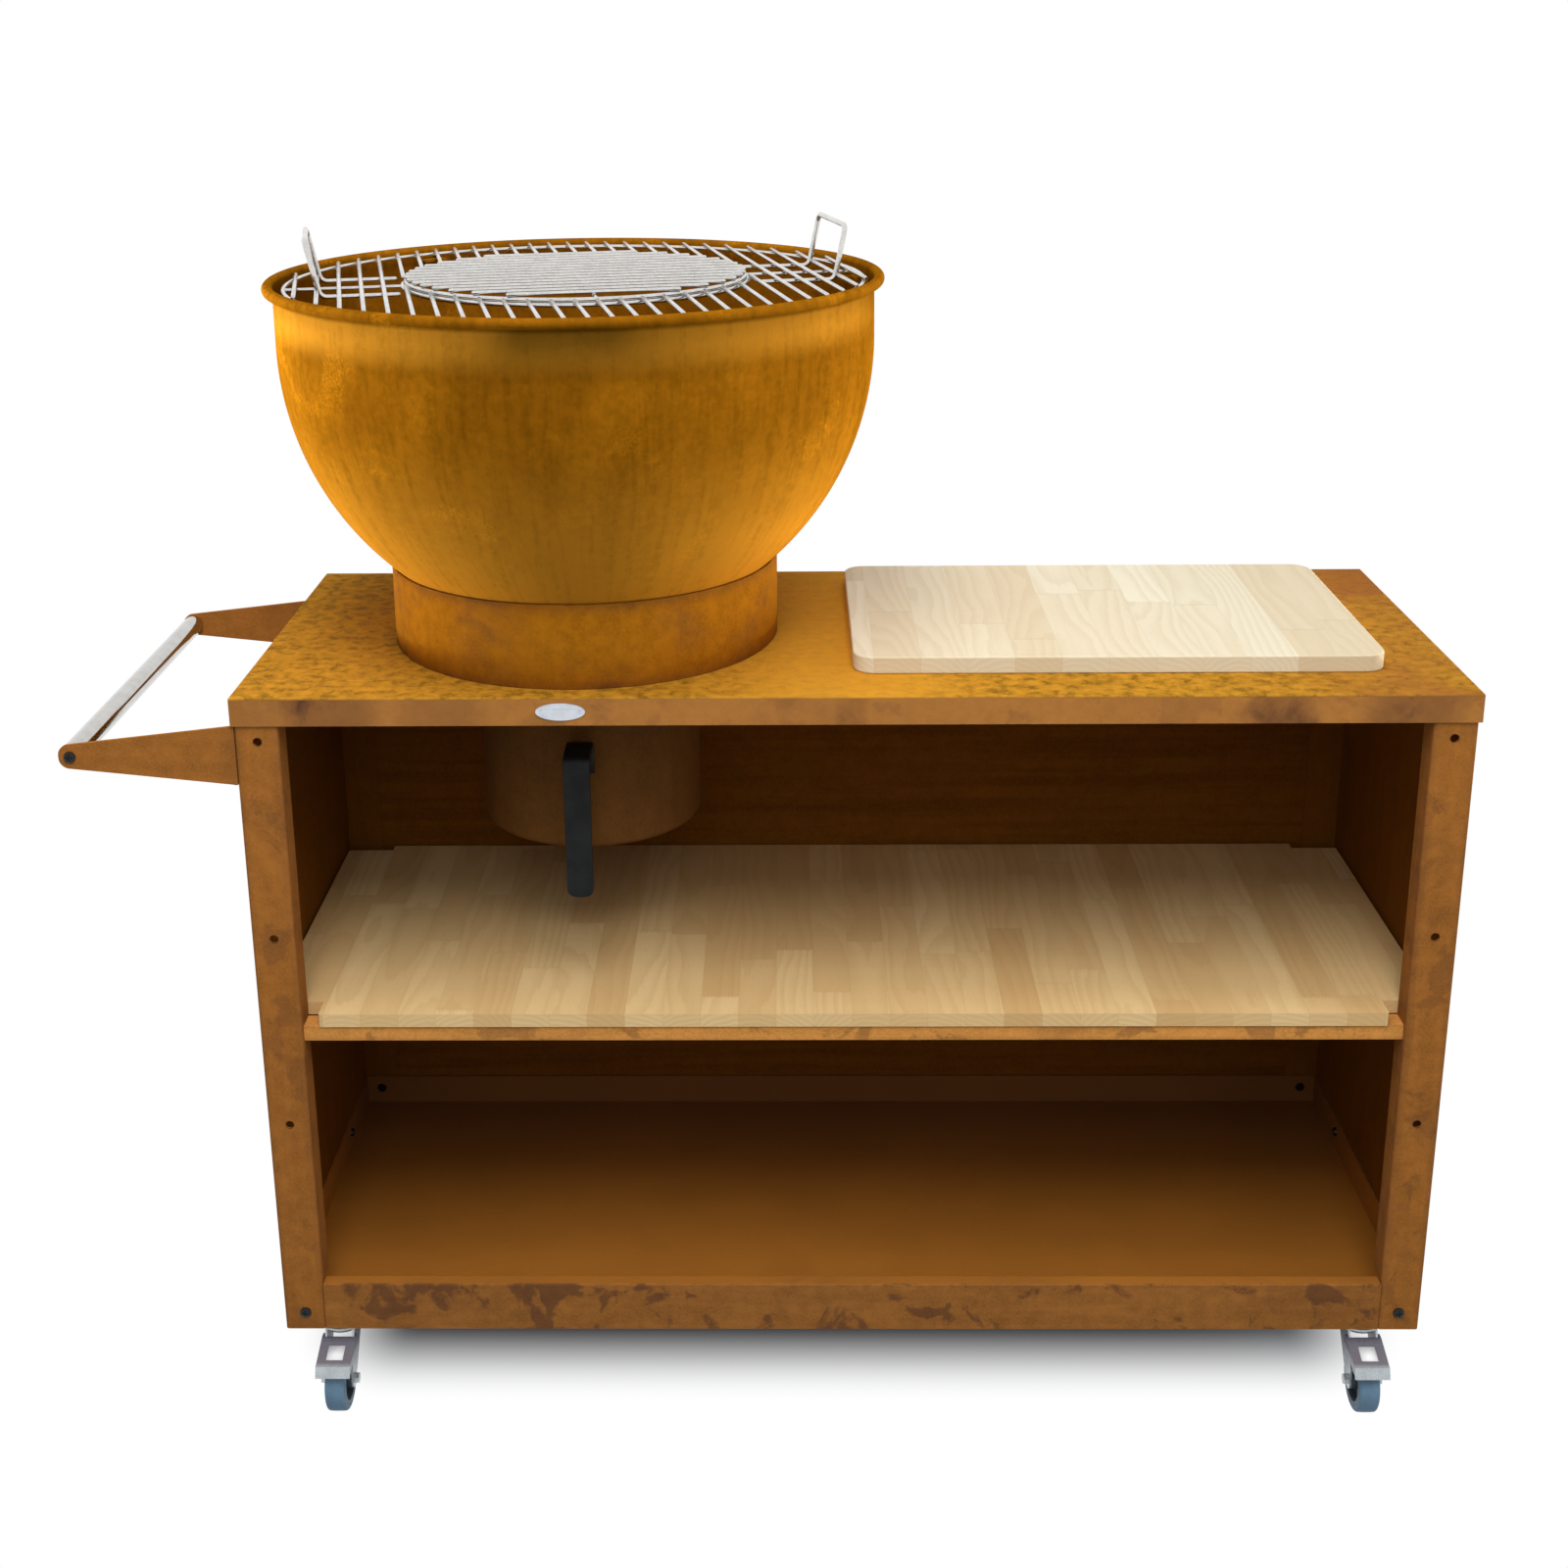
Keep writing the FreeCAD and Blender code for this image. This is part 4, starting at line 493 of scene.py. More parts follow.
def bowl_patina(colours, axis, low, high):
    """Golden rust with drip marks down the wall, on angle and height about the bowl's axis; on the front it has
    painted light, paler from the height low upwards and under the rim at the height high, to lift the shade there."""
    material, nodes, shader, spot = new_material("bowl patina")
    around = nodes.math("NORMALIZE", (spot - (axis.x, axis.y, 0)) * (1, 1, 0))
    height = nodes.split(spot)[2]
    bloom = nodes.group("rust bloom", rust_bloom, {"Vector": spot, "Mottle Scale": 110.0})
    mottled, dark, bright = bloom["Mottle"], colours.bowl_dark, colours.bowl_bright

    def drips(count, reach):
        level = nodes.take("CombineXYZ", {2: height * reach})
        return nodes.grain(around * (count, count, 1) + level, 1.0, 6.0, 0.65, 0.35, 0.42, 0.68)

    fine, broad = drips(26.0, 9.0), drips(5.0, 2.6)
    rim = (high - 0.018, high - 0.012)
    # painted light, only on the bowl's front: paler towards the foot and just under the rim, in place of light on
    # the shaded lower wall and in the rim's shadow
    pale = nodes.most(nodes.span(height, low - 0.02, low + 0.22, 0.75, 0.0),
                      nodes.span(height, high - 0.065, high - 0.03, 0.0, 0.6))
    front = nodes.span(nodes.split(around)[1], -0.6, 0.0, 1.0, 0.0)
    colour = nodes.mix(colours.bowl_body, (broad * 0.35, dark), (bloom["Cloud"] * 0.3, bright), (fine * 0.25, dark),
                       (bloom["Fleck"] * bloom["Blot"] * 0.9, bright), (mottled * 0.3, dark),
                       (pale * nodes.span(height, *rim, 1.0, 0.0) * front, colours.bowl_painted_light),
                       (nodes.span(height, *rim, 0.0, 0.08), dark), (fine * mottled * 0.25, dark))
    coat(nodes, shader, colour, nodes.span(mottled, 0.0, 1.0, 0.7, 0.9), 0.0, mottled + fine * 0.8, 0.1, 0.0006)
    return material


def glued_staves(nodes, source):
    """Solid wood of staves that run along Y: tone by stave, rings about a pith line, pores, finger joints."""
    width = source["Width"]
    x, y, z = nodes.split(source["Vector"])
    number = nodes.math("FLOOR", x / width)
    across = (nodes.math("FRACT", x / width) - 0.5) * width
    shift = nodes.take("TexWhiteNoise", {"W": number}, "Value", noise_dimensions="1D")
    teeth = nodes.math("PINGPONG", across, 0.002) * 3.0
    along = (y + teeth) / source["Length"] + shift * 7.0
    key = nodes.take("CombineXYZ", {0: number, 1: nodes.math("FLOOR", along)})
    chance = nodes.split(nodes.take("TexWhiteNoise", {"Vector": key}, "Color", noise_dimensions="3D"))
    seed = source["Vector"] + key
    wander = nodes.noise(seed * (4.0, 2.2, 4.0), 1.0, 2.0, 0.5)
    side = across - (chance[0] - 0.5) * 0.09
    drop = z + (chance[1] * 0.05 + wander * 0.05)
    reach = nodes.math("SQRT", side * side + drop * drop)
    fuzz = nodes.noise(seed * (60.0, 5.0, 60.0), 1.0, 3.0, 0.6)
    wave = nodes.math("FRACT", reach * 150.0 + fuzz * 1.1)
    end = nodes.away(nodes.math("FRACT", along), 0.5)
    edge = width * 0.5 - nodes.math("ABSOLUTE", across)
    return {"Tone": chance[2], "Ring": nodes.span(wave, 0.2, 0.9) * nodes.span(wave, 0.9, 1.0, 1.0, 0.0),
            "Pore": nodes.grain(seed * (1500.0, 70.0, 1500.0), 1.0, 1.0, 0.5, 0.0, 0.62, 0.75),
            "Joint": nodes.most(nodes.span(end, 0.4965, 0.4995), nodes.span(edge, 0.0, 0.0007, 0.4, 0.0))}


def stave_wood(name, pale, warm, width, length, base_z):
    """Oiled light hardwood made of staves; base_z puts the rings' pith below the board."""
    material, nodes, shader, spot = new_material(name)
    stave = nodes.group("glued staves", glued_staves, {"Vector": spot + (3.0, 3.0, -base_z), "Width": width,
                                                       "Length": length})
    ring, pore, joint, deep = stave["Ring"], stave["Pore"], stave["Joint"], scaled(warm, 0.5)
    colour = nodes.mix(pale, (stave["Tone"] * 0.75, warm), (ring * 0.22, warm), (ring * 0.04, deep),
                       (pore * 0.26, deep), (joint * 0.36, deep))
    coat(nodes, shader, colour, nodes.span(ring, 0.0, 1.0, 0.5, 0.6), 0.25, pore + joint, 0.12, -0.0004)
    return material


def handled_metal(nodes, source):
    """Cloudy haze and fine drawn scratches."""
    return {"Haze": nodes.grain(source["Vector"], 60.0, 4.0, 0.6, 0.0, 0.3, 0.7),
            "Scratch": nodes.grain(source["Vector"] * source["Run"], 1.0, 4.0, 0.6, 0.0, 0.35, 0.7)}


def bare_metal(name, colour, rough, run=(300.0, 300.0, 300.0), below=None, metallic=1.0):
    """Bright metal with haze and drawn lines; below is (height, colour) for another tone under a height."""
    material, nodes, shader, spot = new_material(name)
    wear = nodes.group("handled metal", handled_metal, {"Vector": spot, "Run": run})
    worn = (wear["Haze"] + wear["Scratch"]) * 0.4
    if below:
        low = nodes.span(nodes.split(spot)[2], below[0] - 0.001, below[0] + 0.001, 1.0, 0.0)
        colour = nodes.mix(colour, (low, below[1]))
    dull = nodes.mix(colour, (0.3, (0.0, 0.0, 0.0)))
    coat(nodes, shader, nodes.mix(colour, (worn, dull)), nodes.span(worn, 0.0, 0.8, *rough), 0.5, wear["Scratch"],
         0.05, 0.0002, metallic)
    return material


def moulded(name, colour, rough, grain, specular=0.4):
    """Rubber, plastic or powder coat with a fine pebble."""
    material, nodes, shader, spot = new_material(name)
    pebble = nodes.noise(spot, grain, 3.0, 0.6)
    haze = nodes.grain(spot, 40.0, 4.0, 0.6, 0.0, 0.3, 0.7)
    pale = tuple(min(1.0, part * 1.35 + 0.01) for part in colour)
    coat(nodes, shader, nodes.mix(colour, (haze * 0.6, pale)), nodes.span(pebble, 0.3, 0.7, *rough), specular,
         pebble, 0.12, 0.0003)
    return material


def dress(material, *names):
    """Give CAD nodes a material."""
    for name in names:
        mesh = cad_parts[name].data
        mesh.materials.clear()
        mesh.materials.append(material)


def add_piece(name, grids, material, body, slot, *names, **edges):
    """A piece made of grids that rides on a body, and stands for CAD nodes."""
    piece = grids_object(name, grids, material, **edges)
    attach(piece, body)
    if names:
        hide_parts(*names)


def scene_values(context):
    """Sizes and colours of the scene."""
    return context.scene.kitchen_sizes, context.scene.kitchen_colours


def dress_worktop(colours):
    """Speckled rust: redder at the right end, with painted light next to the collar against the bowl's shadow,
    stained along the apron.
    """
    low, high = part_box("worktop")
    apron, dark = colours.apron_body, scaled(colours.apron_body, 0.6)
    # pale: painted light, a lighter copy of the worktop's colour that lifts the bowl's shadow next to the collar
    pale = scaled(colours.top_body, 2.2)

    def by_place(nodes, spot, bloom, colour):
        x, _, z = nodes.split(spot)
        red = nodes.math("MULTIPLY", nodes.span(x, high.x - RED_END, high.x), bloom["Cloud"] + 0.25, use_clamp=True)
        # painted light next to the collar, where the bowl's shadow falls
        painted_light_patch = nodes.span(nodes.away(x, PAINTED_LIGHT_X), 0.04, 0.18, 0.65, 0.0)
        marks = [nodes.span(nodes.away(x, place), half * 0.4, half * 1.4, share, 0.0)
                 for place, half, share in APRON_MARKS]
        marks = nodes.most(*marks, 0.2) * (bloom["Blot"] * 0.5 + 0.5)
        worn = nodes.mix(apron, (bloom["Cloud"] * 0.3, dark), (bloom["Mottle"] * 0.3, dark),
                         (nodes.most(marks, bloom["Patch"] * 0.25), colours.stain_and_shade))
        side = nodes.span(z, high.z - 0.003, high.z - 0.001, 1.0, 0.0)
        return nodes.mix(colour, (red * 0.8, colours.rust), (painted_light_patch, pale), (side, worn))

    metal = patina("worktop patina", colours.top_body, colours.stain_and_shade, 75.0, 0.35, (14.0, 60.0, 60.0), 0.2,
                   [("Y", low.y, FAR, 0.003, 0.4)], blots=0.0, speckle=1.0, tinted=by_place)
    dress(metal, "worktop")


def dress_posts(colours):
    """Front posts and handle brackets, stained along their edges."""
    body, stain_and_shade = colours.post_body, colours.stain_and_shade
    for name in ("front_left_post", "front_right_post"):
        low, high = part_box(name)
        face = (low.x, low.x + POST_FACE) if "left" in name else (high.x - POST_FACE, high.x)
        metal = patina(name + " patina", body, stain_and_shade, 60.0, 0.4, (60.0, 60.0, 6.0),
                       edges=[("X", *face, 0.012, 0.6), ("Z", low.z, high.z, 0.05, 0.4)], blots=0.3, patches=0.3)
        dress(metal, name)
    for name in ("handle_bracket_front", "handle_bracket_rear"):
        metal = patina(name + " patina", body, stain_and_shade, 60.0, 0.35, (8.0, 60.0, 60.0),
                       edges=[("X", -FAR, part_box(name)[1].x, 0.03, 0.5)])
        dress(metal, name)


def dress_panels(colours):
    """Streaks along the back panel, and down the sides, rear posts and bucket rails, on a darker copy of the
    steel's colour that paints the shade inside the cabinet.
    """
    # the inner colour is painted shade; the streaks are the steel's own
    inner, stain_and_shade = colours.inner_shaded_body, colours.stain_and_shade
    flat = patina("back panel patina", inner, stain_and_shade, 40.0, 0.3, (3.0, 40.0, 60.0), 0.55, blots=0.08)
    dress(flat, "back_panel")
    side = patina("side panel patina", inner, stain_and_shade, 45.0, 0.25, (40.0, 40.0, 5.0), 0.25, blots=0.1)
    dress(side, "left_side_panel", "right_side_panel", "rear_left_post", "rear_right_post", "bucket_rail_left",
          "bucket_rail_right")


def dress_tray(colours):
    """Tray with a stained apron and a floor with painted shade that darkens it to the rear under the shelf, and
    shelf rails.
    """
    low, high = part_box("bottom_tray")
    floor, stain_and_shade = colours.tray_floor, colours.stain_and_shade

    def by_place(nodes, spot, bloom, colour):
        y = nodes.split(spot)[1]
        # worn: cloudy tray floor, plus painted shade in the stain_and_shade colour that darkens it towards the
        # rear, under the shelf
        worn = nodes.mix(floor, (bloom["Cloud"] * 0.3, scaled(floor, 0.6)),
                         (nodes.span(y, SHADE_FROM_Y, high.y, 0.0, 0.6), stain_and_shade))
        inside = nodes.span(y, low.y + 0.003, low.y + 0.005)
        return nodes.mix(colour, (bloom["Patch"] * 0.6, stain_and_shade), (inside, worn))

    metal = patina("tray patina", colours.tray_body, stain_and_shade, 60.0, 0.4, (5.0, 40.0, 60.0), 0.4,
                   [("Y", low.y, FAR, 0.002, 0.35), ("Z", low.z, high.z, 0.006, 0.3)], blots=0.0, tinted=by_place)
    dress(metal, "bottom_tray", "tray_lips")
    low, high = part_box("shelf_front_rail")
    rail = patina("rail patina", colours.rail_body, stain_and_shade, 80.0, 0.25, (8.0, 60.0, 60.0),
                  edges=[("Z", low.z, high.z, 0.006, 0.5)], blots=0.3, patches=0.4)
    dress(rail, "shelf_front_rail", "shelf_rear_rail")


class KITCHEN_OT_cabinet(bpy.types.Operator):
    """Rust patina on worktop, posts, panels, tray, rails and handle brackets"""
    bl_idname = "kitchen.cabinet"
    bl_label = "Steel cabinet"

    def execute(self, context):
        colours = context.scene.kitchen_colours
        dress_worktop(colours)
        dress_posts(colours)
        dress_panels(colours)
        dress_tray(colours)
        return {"FINISHED"}


def bowl_shell(sizes, low, high):
    """Half ball, upright wall and rolled rim outside, and the same inside, turned about the bowl's axis."""
    rim_radius = (high.x - low.x) / 2 - sizes.rim_roll
    radius = rim_radius - sizes.rim_roll + sizes.rim_bite
    rim_z = high.z - sizes.rim_roll
    ball_z = rim_z - sizes.bowl_straight
    inner = radius - sizes.bowl_wall
    start_out = -math.degrees(math.acos(sizes.chute_radius / radius))
    start_in = -math.degrees(math.acos(sizes.chute_radius / inner))
    outside = arc((0, ball_z), radius, start_out, 0, 56)
    roll = arc((rim_radius, rim_z), sizes.rim_roll, -155, 195, 32)
    inside = arc((0, ball_z), inner, 0, start_in, 48)
    return revolve(np.concatenate([outside, roll, inside]), ((low.x + high.x) / 2, 0, 0), steps=224)


def collar_band(sizes, low, high):
    """Upright band with eased edges, turned about the bowl's axis."""
    radius = (high.x - low.x) / 2
    ease = sizes.collar_wall / 3
    inner = radius - sizes.collar_wall
    profile = [(inner, low.z), (radius - ease, low.z), (radius, low.z + ease), (radius, high.z - ease),
               (radius - ease, high.z), (inner + ease, high.z), (inner, high.z - ease)]
    return revolve(profile, ((low.x + high.x) / 2, 0, 0), steps=192)


class KITCHEN_OT_bowl(bpy.types.Operator):
    """Fire bowl with rolled rim, its collar, chute, grate lugs and fire grate"""
    bl_idname = "kitchen.bowl"
    bl_label = "Fire bowl"

    def execute(self, context):
        sizes, colours = scene_values(context)
        low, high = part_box("fire_bowl")
        gold = bowl_patina(colours, (low + high) / 2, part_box("bowl_collar")[1].z, high.z)
        add_piece("bowl_shell", [bowl_shell(sizes, low, high)], gold, "bowl", "patina_steel", "fire_bowl",
                  wrap_rows=True)
        dress(gold, "grate_lugs", "ash_chute")
        low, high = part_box("bowl_collar")
        metal = patina("collar patina", colours.collar_body, colours.stain_and_shade, 70.0, 0.45, (30.0, 30.0, 12.0),
                       edges=[("Z", low.z, high.z, 0.016, 0.75)], blots=0.4)
        add_piece("collar_band", [collar_band(sizes, low, high)], metal, "cabinet", "patina_steel", "bowl_collar",
                  wrap_rows=True)
        dress(moulded("fire grate iron", colours.iron, (0.6, 0.85), 500.0), "fire_grate")
        return {"FINISHED"}


class KITCHEN_OT_grates(bpy.types.Operator):
    """Main grate with lifting handles, and centre grate, as welded wire"""
    bl_idname = "kitchen.grates"
    bl_label = "Wire grates"

    def execute(self, context):
        sizes = context.scene.kitchen_sizes
        self.wire = bare_metal("bright wire", context.scene.kitchen_colours.wire, (0.16, 0.28))
        low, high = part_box("main_grate_rings")
        self.axis = np.array([(low.x + high.x) / 2, (low.y + high.y) / 2, 0])
        c, s = math.cos(sizes.grate_turn), math.sin(sizes.grate_turn)
        self.turn = np.array([[c, -s, 0], [s, c, 0], [0, 0, 1]])
        self.main(sizes)
        self.centre(sizes)
        return {"FINISHED"}

    def wires(self, name, paths, body, *nodes):
        """Wires as tubes along paths given about the bowl's axis."""
        grids = [tube(np.asarray(path) @ self.turn.T + self.axis, radius) for path, radius in paths]
        add_piece(name, grids, self.wire, body, "wire_steel", *nodes, caps=True)

    def rings(self, name, radii, level, wire, body, node):
        """Closed rings P(b, a) = axis + (R + r cos b) radial + r sin b up."""
        section = arc((0, 0), wire, 0, 360, 15)[:-1]
        grids = [revolve(section + (radius, level), self.axis, steps=168) for radius in radii]
        add_piece(name, grids, self.wire, body, "wire_steel", node, wrap_rows=True)

    def main(self, sizes):
        low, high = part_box("main_grate_rings")
        outer = (high.x - low.x) / 2 - sizes.ring_wire
        level = (low.z + high.z) / 2
        bar_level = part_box("main_grate_bars")[1].z - sizes.bar_wire
        low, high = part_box("centre_grate_ring")
        tips = (high.x - low.x) / 2 + sizes.ring_play
        count = int(outer / sizes.bar_pitch)
        bars = []
        for x in np.arange(-count, count + 1) * sizes.bar_pitch:
            end = math.sqrt((outer + sizes.bar_overhang) ** 2 - x ** 2)
            spans = [(-end, end)]
            if abs(x) < sizes.opening_radius:
                gap = math.sqrt(tips ** 2 - max(abs(x) - sizes.bar_wire, 0) ** 2)
                spans = [(gap, end), (-end, -gap)]
            bars += [([(x, a, bar_level), (x, b, bar_level)], sizes.bar_wire) for a, b in spans]
        self.wires("main_bars", bars, "main_grate", "main_grate_bars")
        self.rings("main_rings", (outer, sizes.opening_radius), level, sizes.ring_wire, "main_grate",
                   "main_grate_rings")
        spokes = [([(s * sizes.opening_radius, 0, level), (s * outer, 0, level)], sizes.bar_wire) for s in (-1, 1)]
        self.wires("main_spokes", spokes, "main_grate")
        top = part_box("main_grate_handles")[1].z - sizes.ring_wire
        lifts = [(self.lift(sizes, side, level, top), sizes.ring_wire) for side in (1, -1)]
        self.wires("lift_handles", lifts, "main_grate", "main_grate_handles")

    def lift(self, sizes, side, level, top):
        """Two feet under the bars and a leaning bow between them."""
        half = sizes.lift_width / 2
        lean = (top - level) * math.tan(sizes.lift_lean)
        leg = [(sizes.lift_start, level), (sizes.lift_reach, level), (sizes.lift_reach + lean, top)]
        points = [(side * x, -side * half, z) for x, z in leg] + [(side * x, side * half, z) for x, z in leg[::-1]]
        return rounded_path(points, sizes.lift_bend)

    def centre(self, sizes):
        low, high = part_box("centre_grate_ring")
        outer = (high.x - low.x) / 2 - sizes.ring_wire
        level = low.z + sizes.ring_wire
        bar_low, bar_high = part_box("centre_grate_bars")
        bar_level = (bar_low.z + bar_high.z) / 2
        count = int(outer / sizes.bar_pitch)
        bars = []
        for y in np.arange(-count, count + 1) * sizes.bar_pitch:
            end = math.sqrt((outer + sizes.bar_overhang) ** 2 - y ** 2)
            bars.append(([(-end, y, bar_level), (end, y, bar_level)], sizes.bar_wire))
        self.wires("centre_bars", bars, "centre_grate", "centre_grate_bars")
        self.rings("centre_ring", (outer,), level, sizes.ring_wire, "centre_grate", "centre_grate_ring")
        cross_z = bar_low.z - sizes.bar_wire * CROSS_SINK
        cross = [([(0, -outer, cross_z), (0, outer, cross_z)], sizes.bar_wire)]
        self.wires("centre_cross", cross, "centre_grate")


class KITCHEN_OT_boards(bpy.types.Operator):
    """Wooden shelf and cutting board"""
    bl_idname = "kitchen.boards"
    bl_label = "Wooden boards"

    def execute(self, context):
        colours = context.scene.kitchen_colours
        shelf = stave_wood("shelf wood", colours.shelf_pale, colours.shelf_warm, *SHELF_STAVE,
                           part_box("shelf_board")[0].z)
        dress(shelf, "shelf_board")
        board = stave_wood("board wood", colours.board_pale, colours.board_warm, *BOARD_STAVE,
                           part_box("cutting_board")[0].z)
        dress(board, "cutting_board")
        return {"FINISHED"}


def bucket_shell(sizes):
    """Round bottom edge, wall and flat rim outside, and wall and floor inside, turned about the bowl's axis."""
    low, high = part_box("ash_bucket")
    rim = (high.x - low.x) / 2
    radius = rim - sizes.bucket_rim
    inner = radius - sizes.bucket_wall
    turn = sizes.bucket_round
    lip = high.z - sizes.bucket_rim_sheet
    bottom = arc((radius - turn, low.z + turn), turn, -90, 0, 10)
    floor = arc((radius - turn, low.z + turn), turn - sizes.bucket_wall, 0, -90, 10)
    ease, nick, pole, base = 0.001, 0.0006, 0.004, low.z + sizes.bucket_wall
    profile = np.concatenate([[(pole, low.z), (radius * 0.6, low.z)], bottom,
                              [(radius, lip - 2 * ease), (radius + ease, lip), (rim - nick, lip), (rim, lip + ease),
                               (rim - nick, high.z), (inner + ease, high.z), (inner, high.z - ease)], floor,
                              [(radius * 0.6, base), (pole, base)]])
    return revolve(profile, ((low.x + high.x) / 2, (low.y + high.y) / 2, 0), steps=144)


def strap_grip(sizes):
    """P(s, t) = C(s) + w(s) u(t) X + v(t) N(s): a soft-edged flat bar bent twice, its lower end rounded."""
    low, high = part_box("bucket_grip")
    half = sizes.grip_sheet / 2
    wall, front, top = high.y - half, low.y + half, high.z - half
    line = rounded_path([(0, wall, top + half - sizes.grip_sheet - sizes.grip_foot), (0, wall, top),
                         (0, front, top), (0, front, low.z + sizes.grip_tip)], sizes.grip_bend, 10)
    reach = np.linspace(0, 1, TIP_STEPS)
    end = np.stack([0 * reach, 0 * reach + front, low.z + sizes.grip_tip * (1 - reach)], 1)
    line = np.concatenate([line[:-1], end])
    width = np.ones(len(line))
    corner = sizes.grip_tip / ((high.x - low.x) / 2)
    width[-TIP_STEPS:] = 1 - corner * (1 - np.sqrt(np.clip(1 - reach ** 2, 0, 1)))
    tangent = np.gradient(line, axis=0)
    tangent /= np.linalg.norm(tangent, axis=1)[:, None]
    normal = np.cross(tangent, (1.0, 0, 0))
    turn = np.linspace(0, TAU, 48, endpoint=False)
    u = np.sign(np.cos(turn)) * abs(np.cos(turn)) ** 0.22 * (high.x - low.x) / 2
    v = np.sign(np.sin(turn)) * abs(np.sin(turn)) ** 0.3 * half
    middle = np.array([(low.x + high.x) / 2, 0, 0])
    flat = width[:, None, None] * u[:, None] * np.array([1.0, 0, 0])
    return middle + line[:, None] + flat + v[:, None] * normal[:, None]


class KITCHEN_OT_bucket(bpy.types.Operator):
    """Ash bucket with its strap grip"""
    bl_idname = "kitchen.bucket"
    bl_label = "Ash bucket"

    def execute(self, context):
        sizes, colours = scene_values(context)
        metal = patina("bucket patina", colours.bucket_body, colours.stain_and_shade, 55.0, 0.3, (30.0, 30.0, 8.0))
        add_piece("bucket_shell", [bucket_shell(sizes)], metal, "bucket", "patina_steel", "ash_bucket", caps=True)
        black = moulded("grip black", colours.black, (0.38, 0.52), 700.0, 0.15)
        add_piece("strap_grip", [strap_grip(sizes)], black, "bucket", "black_steel", "bucket_grip", caps=True)
        dress(black, "grip_screws")
        return {"FINISHED"}


def add_badge(sizes, metal):
    """P(d, t) = middle + ((A - d) cos t, -h(d), (B - d) sin t): an oval with a raised edge; rivets are domes."""
    low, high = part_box("badge_plate")
    long, tall, thick = (high.x - low.x) / 2, (high.z - low.z) / 2, high.y - low.y
    inset = np.array([0, 0, 0.15, 0.5, 0.85, 1.0, 2.0, 4.0, 6.9]) * sizes.badge_bead
    rise = np.array([0, 0.7, 0.92, 1.0, 0.9] + [BADGE_FIELD] * 4) * thick
    turn = np.linspace(0, TAU, 128, endpoint=False)
    x = (long - inset)[:, None] * np.cos(turn)
    z = np.maximum(tall - inset, 0.0004)[:, None] * np.sin(turn)
    y = np.repeat(-rise[:, None], len(turn), 1)
    middle = np.array([(low.x + high.x) / 2, high.y, (low.z + high.z) / 2])
    add_piece("badge_oval", [np.stack([x, y, z], -1) + middle], metal, "cabinet", "badge_metal",
              "badge_plate", caps=True)
    rivets = [revolve(RIVET_HEAD, middle + (side * sizes.rivet_step, -BADGE_FIELD * thick, 0), (0, -1, 0), 32)
              for side in (-1, 1)]
    add_piece("badge_rivet_heads", rivets, metal, "cabinet", "badge_metal", "badge_rivets", caps=True)


def add_screws(sizes, metal):
    """Cross-recessed heads on the posts' feet and the push handle."""
    low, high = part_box("post_screws")
    radius = (high.z - low.z) / 2
    base = low.y + sizes.screw_head
    places = [(x, base, (low.z + high.z) / 2) for x in (low.x + radius, high.x - radius)]
    heads = [cross_screw(place, (0, -1, 0), radius, sizes.screw_head) for place in places]
    add_piece("post_screw_heads", heads, metal, "cabinet", "black_steel", "post_screws", caps=True)
    low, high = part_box("handle_screws")
    x, z = (low.x + high.x) / 2, (low.z + high.z) / 2
    heads = [cross_screw((x, low.y + sizes.screw_head, z), (0, -1, 0), radius, sizes.screw_head),
             cross_screw((x, high.y - sizes.screw_head, z), (0, 1, 0), radius, sizes.screw_head)]
    add_piece("handle_screw_heads", heads, metal, "cabinet", "black_steel", "handle_screws", caps=True)


def add_hole_edges(sizes, metal):
    """Thin bare rings round the free holes of the front posts."""
    section = arc((0, 0), sizes.hole_edge, 0, 360, 9)[:-1]
    grids = []
    for name, side in (("front_left_post", 1), ("front_right_post", -1)):
        low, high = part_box(name)
        x = (low.x if side > 0 else high.x) + side * sizes.hole_inset
        for row in range(FREE_HOLES):
            place = (x, low.y, sizes.hole_top - row * sizes.hole_step)
            grids.append(revolve(section + (sizes.hole_radius, 0), place, (0, -1, 0), 40))
    add_piece("hole_edges", grids, metal, "cabinet", "zinc_steel", wrap_rows=True)


class KITCHEN_OT_trim(bpy.types.Operator):
    """Polished tube of the push handle, badge plate, black screws and bare hole edges"""
    bl_idname = "kitchen.trim"
    bl_label = "Push handle and trim"

    def execute(self, context):
        sizes, colours = scene_values(context)
        dress(bare_metal("polished tube", colours.tube, (0.07, 0.14), (900.0, 5.0, 900.0)), "handle_tube")
        add_badge(sizes, bare_metal("badge plate", colours.badge, (0.36, 0.48), (12.0, 600.0, 600.0)))
        black = moulded("black screws", colours.black, (0.25, 0.45), 1200.0, 0.3)
        dress(black, "handle_bracket_bolts", "back_panel_screws", "shelf_rail_screws", "tray_bolts")
        add_screws(sizes, black)
        add_hole_edges(sizes, bare_metal("bare edge", colours.stain_and_shade, (0.4, 0.6)))
        return {"FINISHED"}


def add_insert(sizes, tag, white):
    """P(u, v, w) on a flat plate that fills a pedal's window, just under the pedal's sloping face."""
    low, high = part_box(f"brake_pedal_{tag}")
    x, y = (low.x + high.x) / 2, swivel_y(tag) - sizes.window_front - sizes.window / 2
    half = sizes.window / 2 - INSERT_PLAY
    face = high.z - WINDOW_DROP
    ring = [(-half, -half), (half, -half), (half, half), (-half, half)]
    rows = [[(x + u, y + v, face + PEDAL_SLOPE * v - depth) for u, v in ring]
            for depth in (INSERT_UNDER, INSERT_TOP)]
    add_piece(f"pedal_insert_{tag}", [np.array(rows)], white, f"pedal_{tag}", "wheel_plastic", caps=True)


